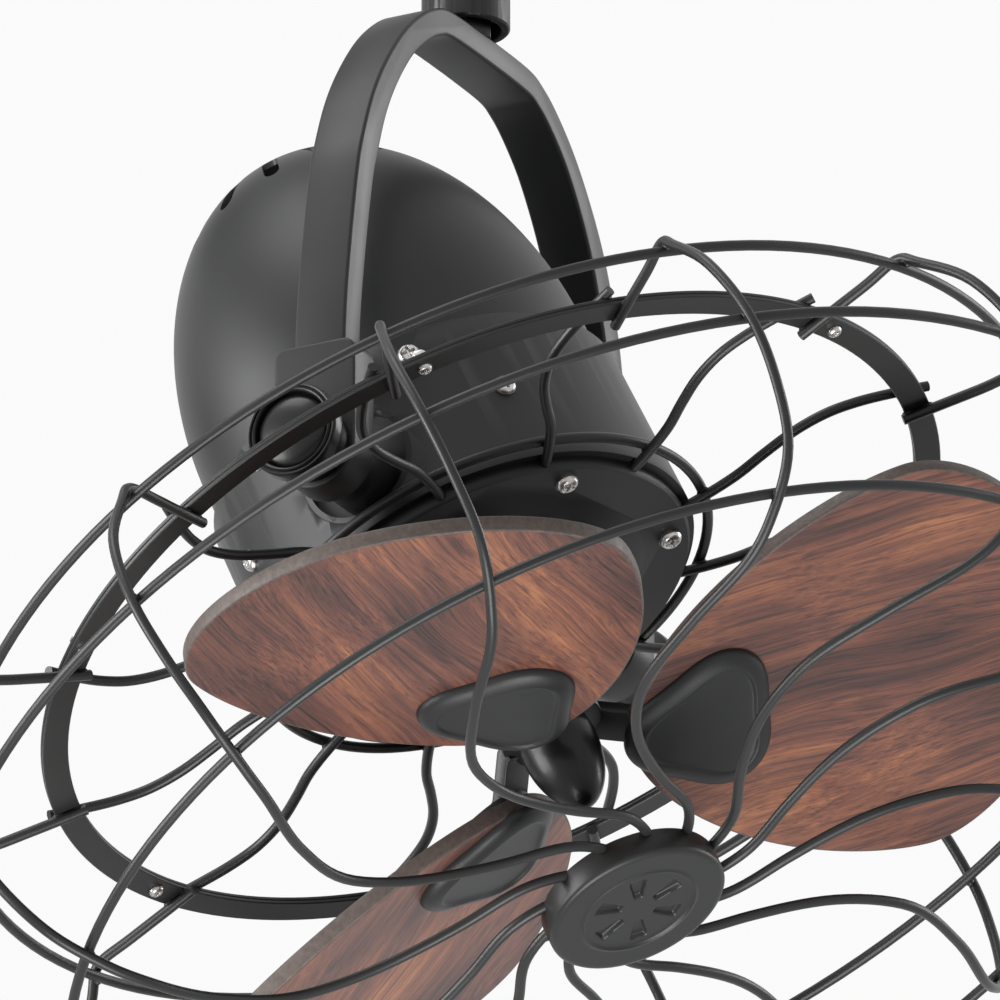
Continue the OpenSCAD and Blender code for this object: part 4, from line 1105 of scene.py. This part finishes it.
# %% One screw and one nut
CROWN_SHARES = (1.0, 0.985, 0.95, 0.9, 0.82, 0.72, 0.62, 0.54, 0.46, 0.38, 0.30, 0.22, 0.14, 0.06)


def cross_screw(head_r, head_h, shank_r, shank_l):
    crown = [(head_r * f, head_h * max((1 - f ** 5) ** 0.5, 0.3)) for f in CROWN_SHARES] + [(0, head_h)]
    bm = spun([(0, -shank_l), (shank_r, -shank_l), (shank_r, 0), (head_r, 0)] + crown, 40)
    wing, slit, depth = head_r * 0.60, head_r * 0.15, head_r * 0.34
    for v in bm.verts:
        if v.co.z > 0.2:
            x, y = abs(v.co.x), abs(v.co.y)
            v.co.z -= depth * max(step(slit - y, 0, 0.22) * step(wing - x, 0, 0.4),
                                  step(slit - x, 0, 0.22) * step(wing - y, 0, 0.4))
    return bm


def hex_nut(across, h):
    bm = bmesh.new()
    bmesh.ops.create_circle(bm, cap_ends=True, segments=6, radius=across / 2)
    return rounded(raised(bm, bm.faces[:], h), 0.25, 2)


print("rows of a screw's crown:", len(CROWN_SHARES))

# %% Screws of a head
SHROUD_R = 79
SHROUD_FRONT = 17
SHROUD_LONG = 62.7
SHROUD_TAPER = 1.6
PLATE_SCREW_R = 68
PLATE_FACE = 24.2
PLATE_PHASE = -35
BAND_PHASE = 51.35
RING_OF_SCREWS = 6
NUT_BACK = 5.8
# Head radius and height, then shank radius and length.
PLATE_SCREW = (4.25, 3, 2, 14)
SHROUD_SCREW = (4, 2.6, 2, 13)
BAND_SCREW = (2.7, 2, 1.5, 6.8)
# Angle from the head's X axis and height above the pivot, on one side of the shroud.
SHROUD_SCREWS = [(45, 12.7), (135, 12.7), (64.65, 36.5), (115.35, 36.5)]
FLIP = turned(180, "X")
OUT = turned(90, "Y")


def shroud_r(z):
    return SHROUD_R - SHROUD_TAPER * (z + SHROUD_FRONT) / SHROUD_LONG


for side in SIDES:
    bm = bmesh.new()
    for i in range(RING_OF_SCREWS):
        at = turned(60 * i + PLATE_PHASE) @ Matrix.Translation((PLATE_SCREW_R, 0, -PLATE_FACE)) @ FLIP
        put(bm, cross_screw(*PLATE_SCREW), at)
    for a, z in SHROUD_SCREWS:
        for sign in (1, -1):
            at = turned(a * sign) @ Matrix.Translation((shroud_r(z) + 0.05, 0, z)) @ OUT
            put(bm, cross_screw(*SHROUD_SCREW), at)
    finish_piece("housing_screws_new_" + side, bm, head_place(side), [MAT["zinc_steel"]],
                 "housing_screws_" + side, 50)
    bm = bmesh.new()
    for i in range(RING_OF_SCREWS):
        on_band = Matrix.Translation((BAND_R - BAND_W / 2, 0, -FRONT_BAND_S - BAND_T))
        at = turned(BAND_PHASE + 60 * i) @ on_band @ FLIP
        put(bm, cross_screw(*BAND_SCREW), at)
        put(bm, hex_nut(6.4, 2.6), at @ Matrix.Translation((0, 0, -NUT_BACK)))
    finish_piece("clamp_screws_" + side, bm, head_place(side), [MAT["zinc_steel"]], "band_screws_" + side, 40)
print("screws per head:", 2 * RING_OF_SCREWS + 2 * len(SHROUD_SCREWS))

# %% [markdown]
# The remaining round CAD nodes have the right shape, but their meshes are loose triangles that shade in flat
# facets. A copy of each is merged and its flat areas are joined again. Where nothing is in the way, its sharp
# edges get a small bevel that catches a line of light. The bevel takes material away and adds none.

# %% Smooth copies of round CAD nodes
def smoothed(node_name, edge):
    bm = bmesh.new()
    bm.from_mesh(frame["nodes"][node_name].data)
    bm.transform(Matrix.Scale(1 / MM, 4))
    bmesh.ops.remove_doubles(bm, verts=bm.verts, dist=0.002)
    bmesh.ops.dissolve_limit(bm, angle_limit=math.radians(0.6), verts=bm.verts[:], edges=bm.edges[:])
    if edge:
        rounded(bm, edge, 2, 45)
    finish_piece("smooth_" + node_name, bm, Matrix.Scale(MM, 4), [MAT[slot_of[node_name]]], node_name, 30)


EDGES = {"canopy": 0.0, "downrod": 0.4, "hub_upper": 0.0, "hub_lower": 0.0, "arm_a": 0.0, "arm_b": 0.0,
         "socket_a": 0.4, "socket_b": 0.4}
for side in SIDES:
    EDGES.update({"shroud_" + side: 0.0, "front_plate_" + side: 0.0, "stud_" + side: 0.3})
for node_name, edge in EDGES.items():
    smoothed(node_name, edge)
print("smooth copies:", len(EDGES))

# %% [markdown]
# What is left is hidden, flat or small, such as the bracket, the axle and the canopy's screws. It keeps its
# CAD mesh and takes its finish from the record's material slots.

# %% Finishes for the carried-over nodes
for name, obj in frame["nodes"].items():
    for s in obj.material_slots:
        s.material = MAT.get(slot_of[name], s.material)
print("dressed nodes:", len(frame["nodes"]))
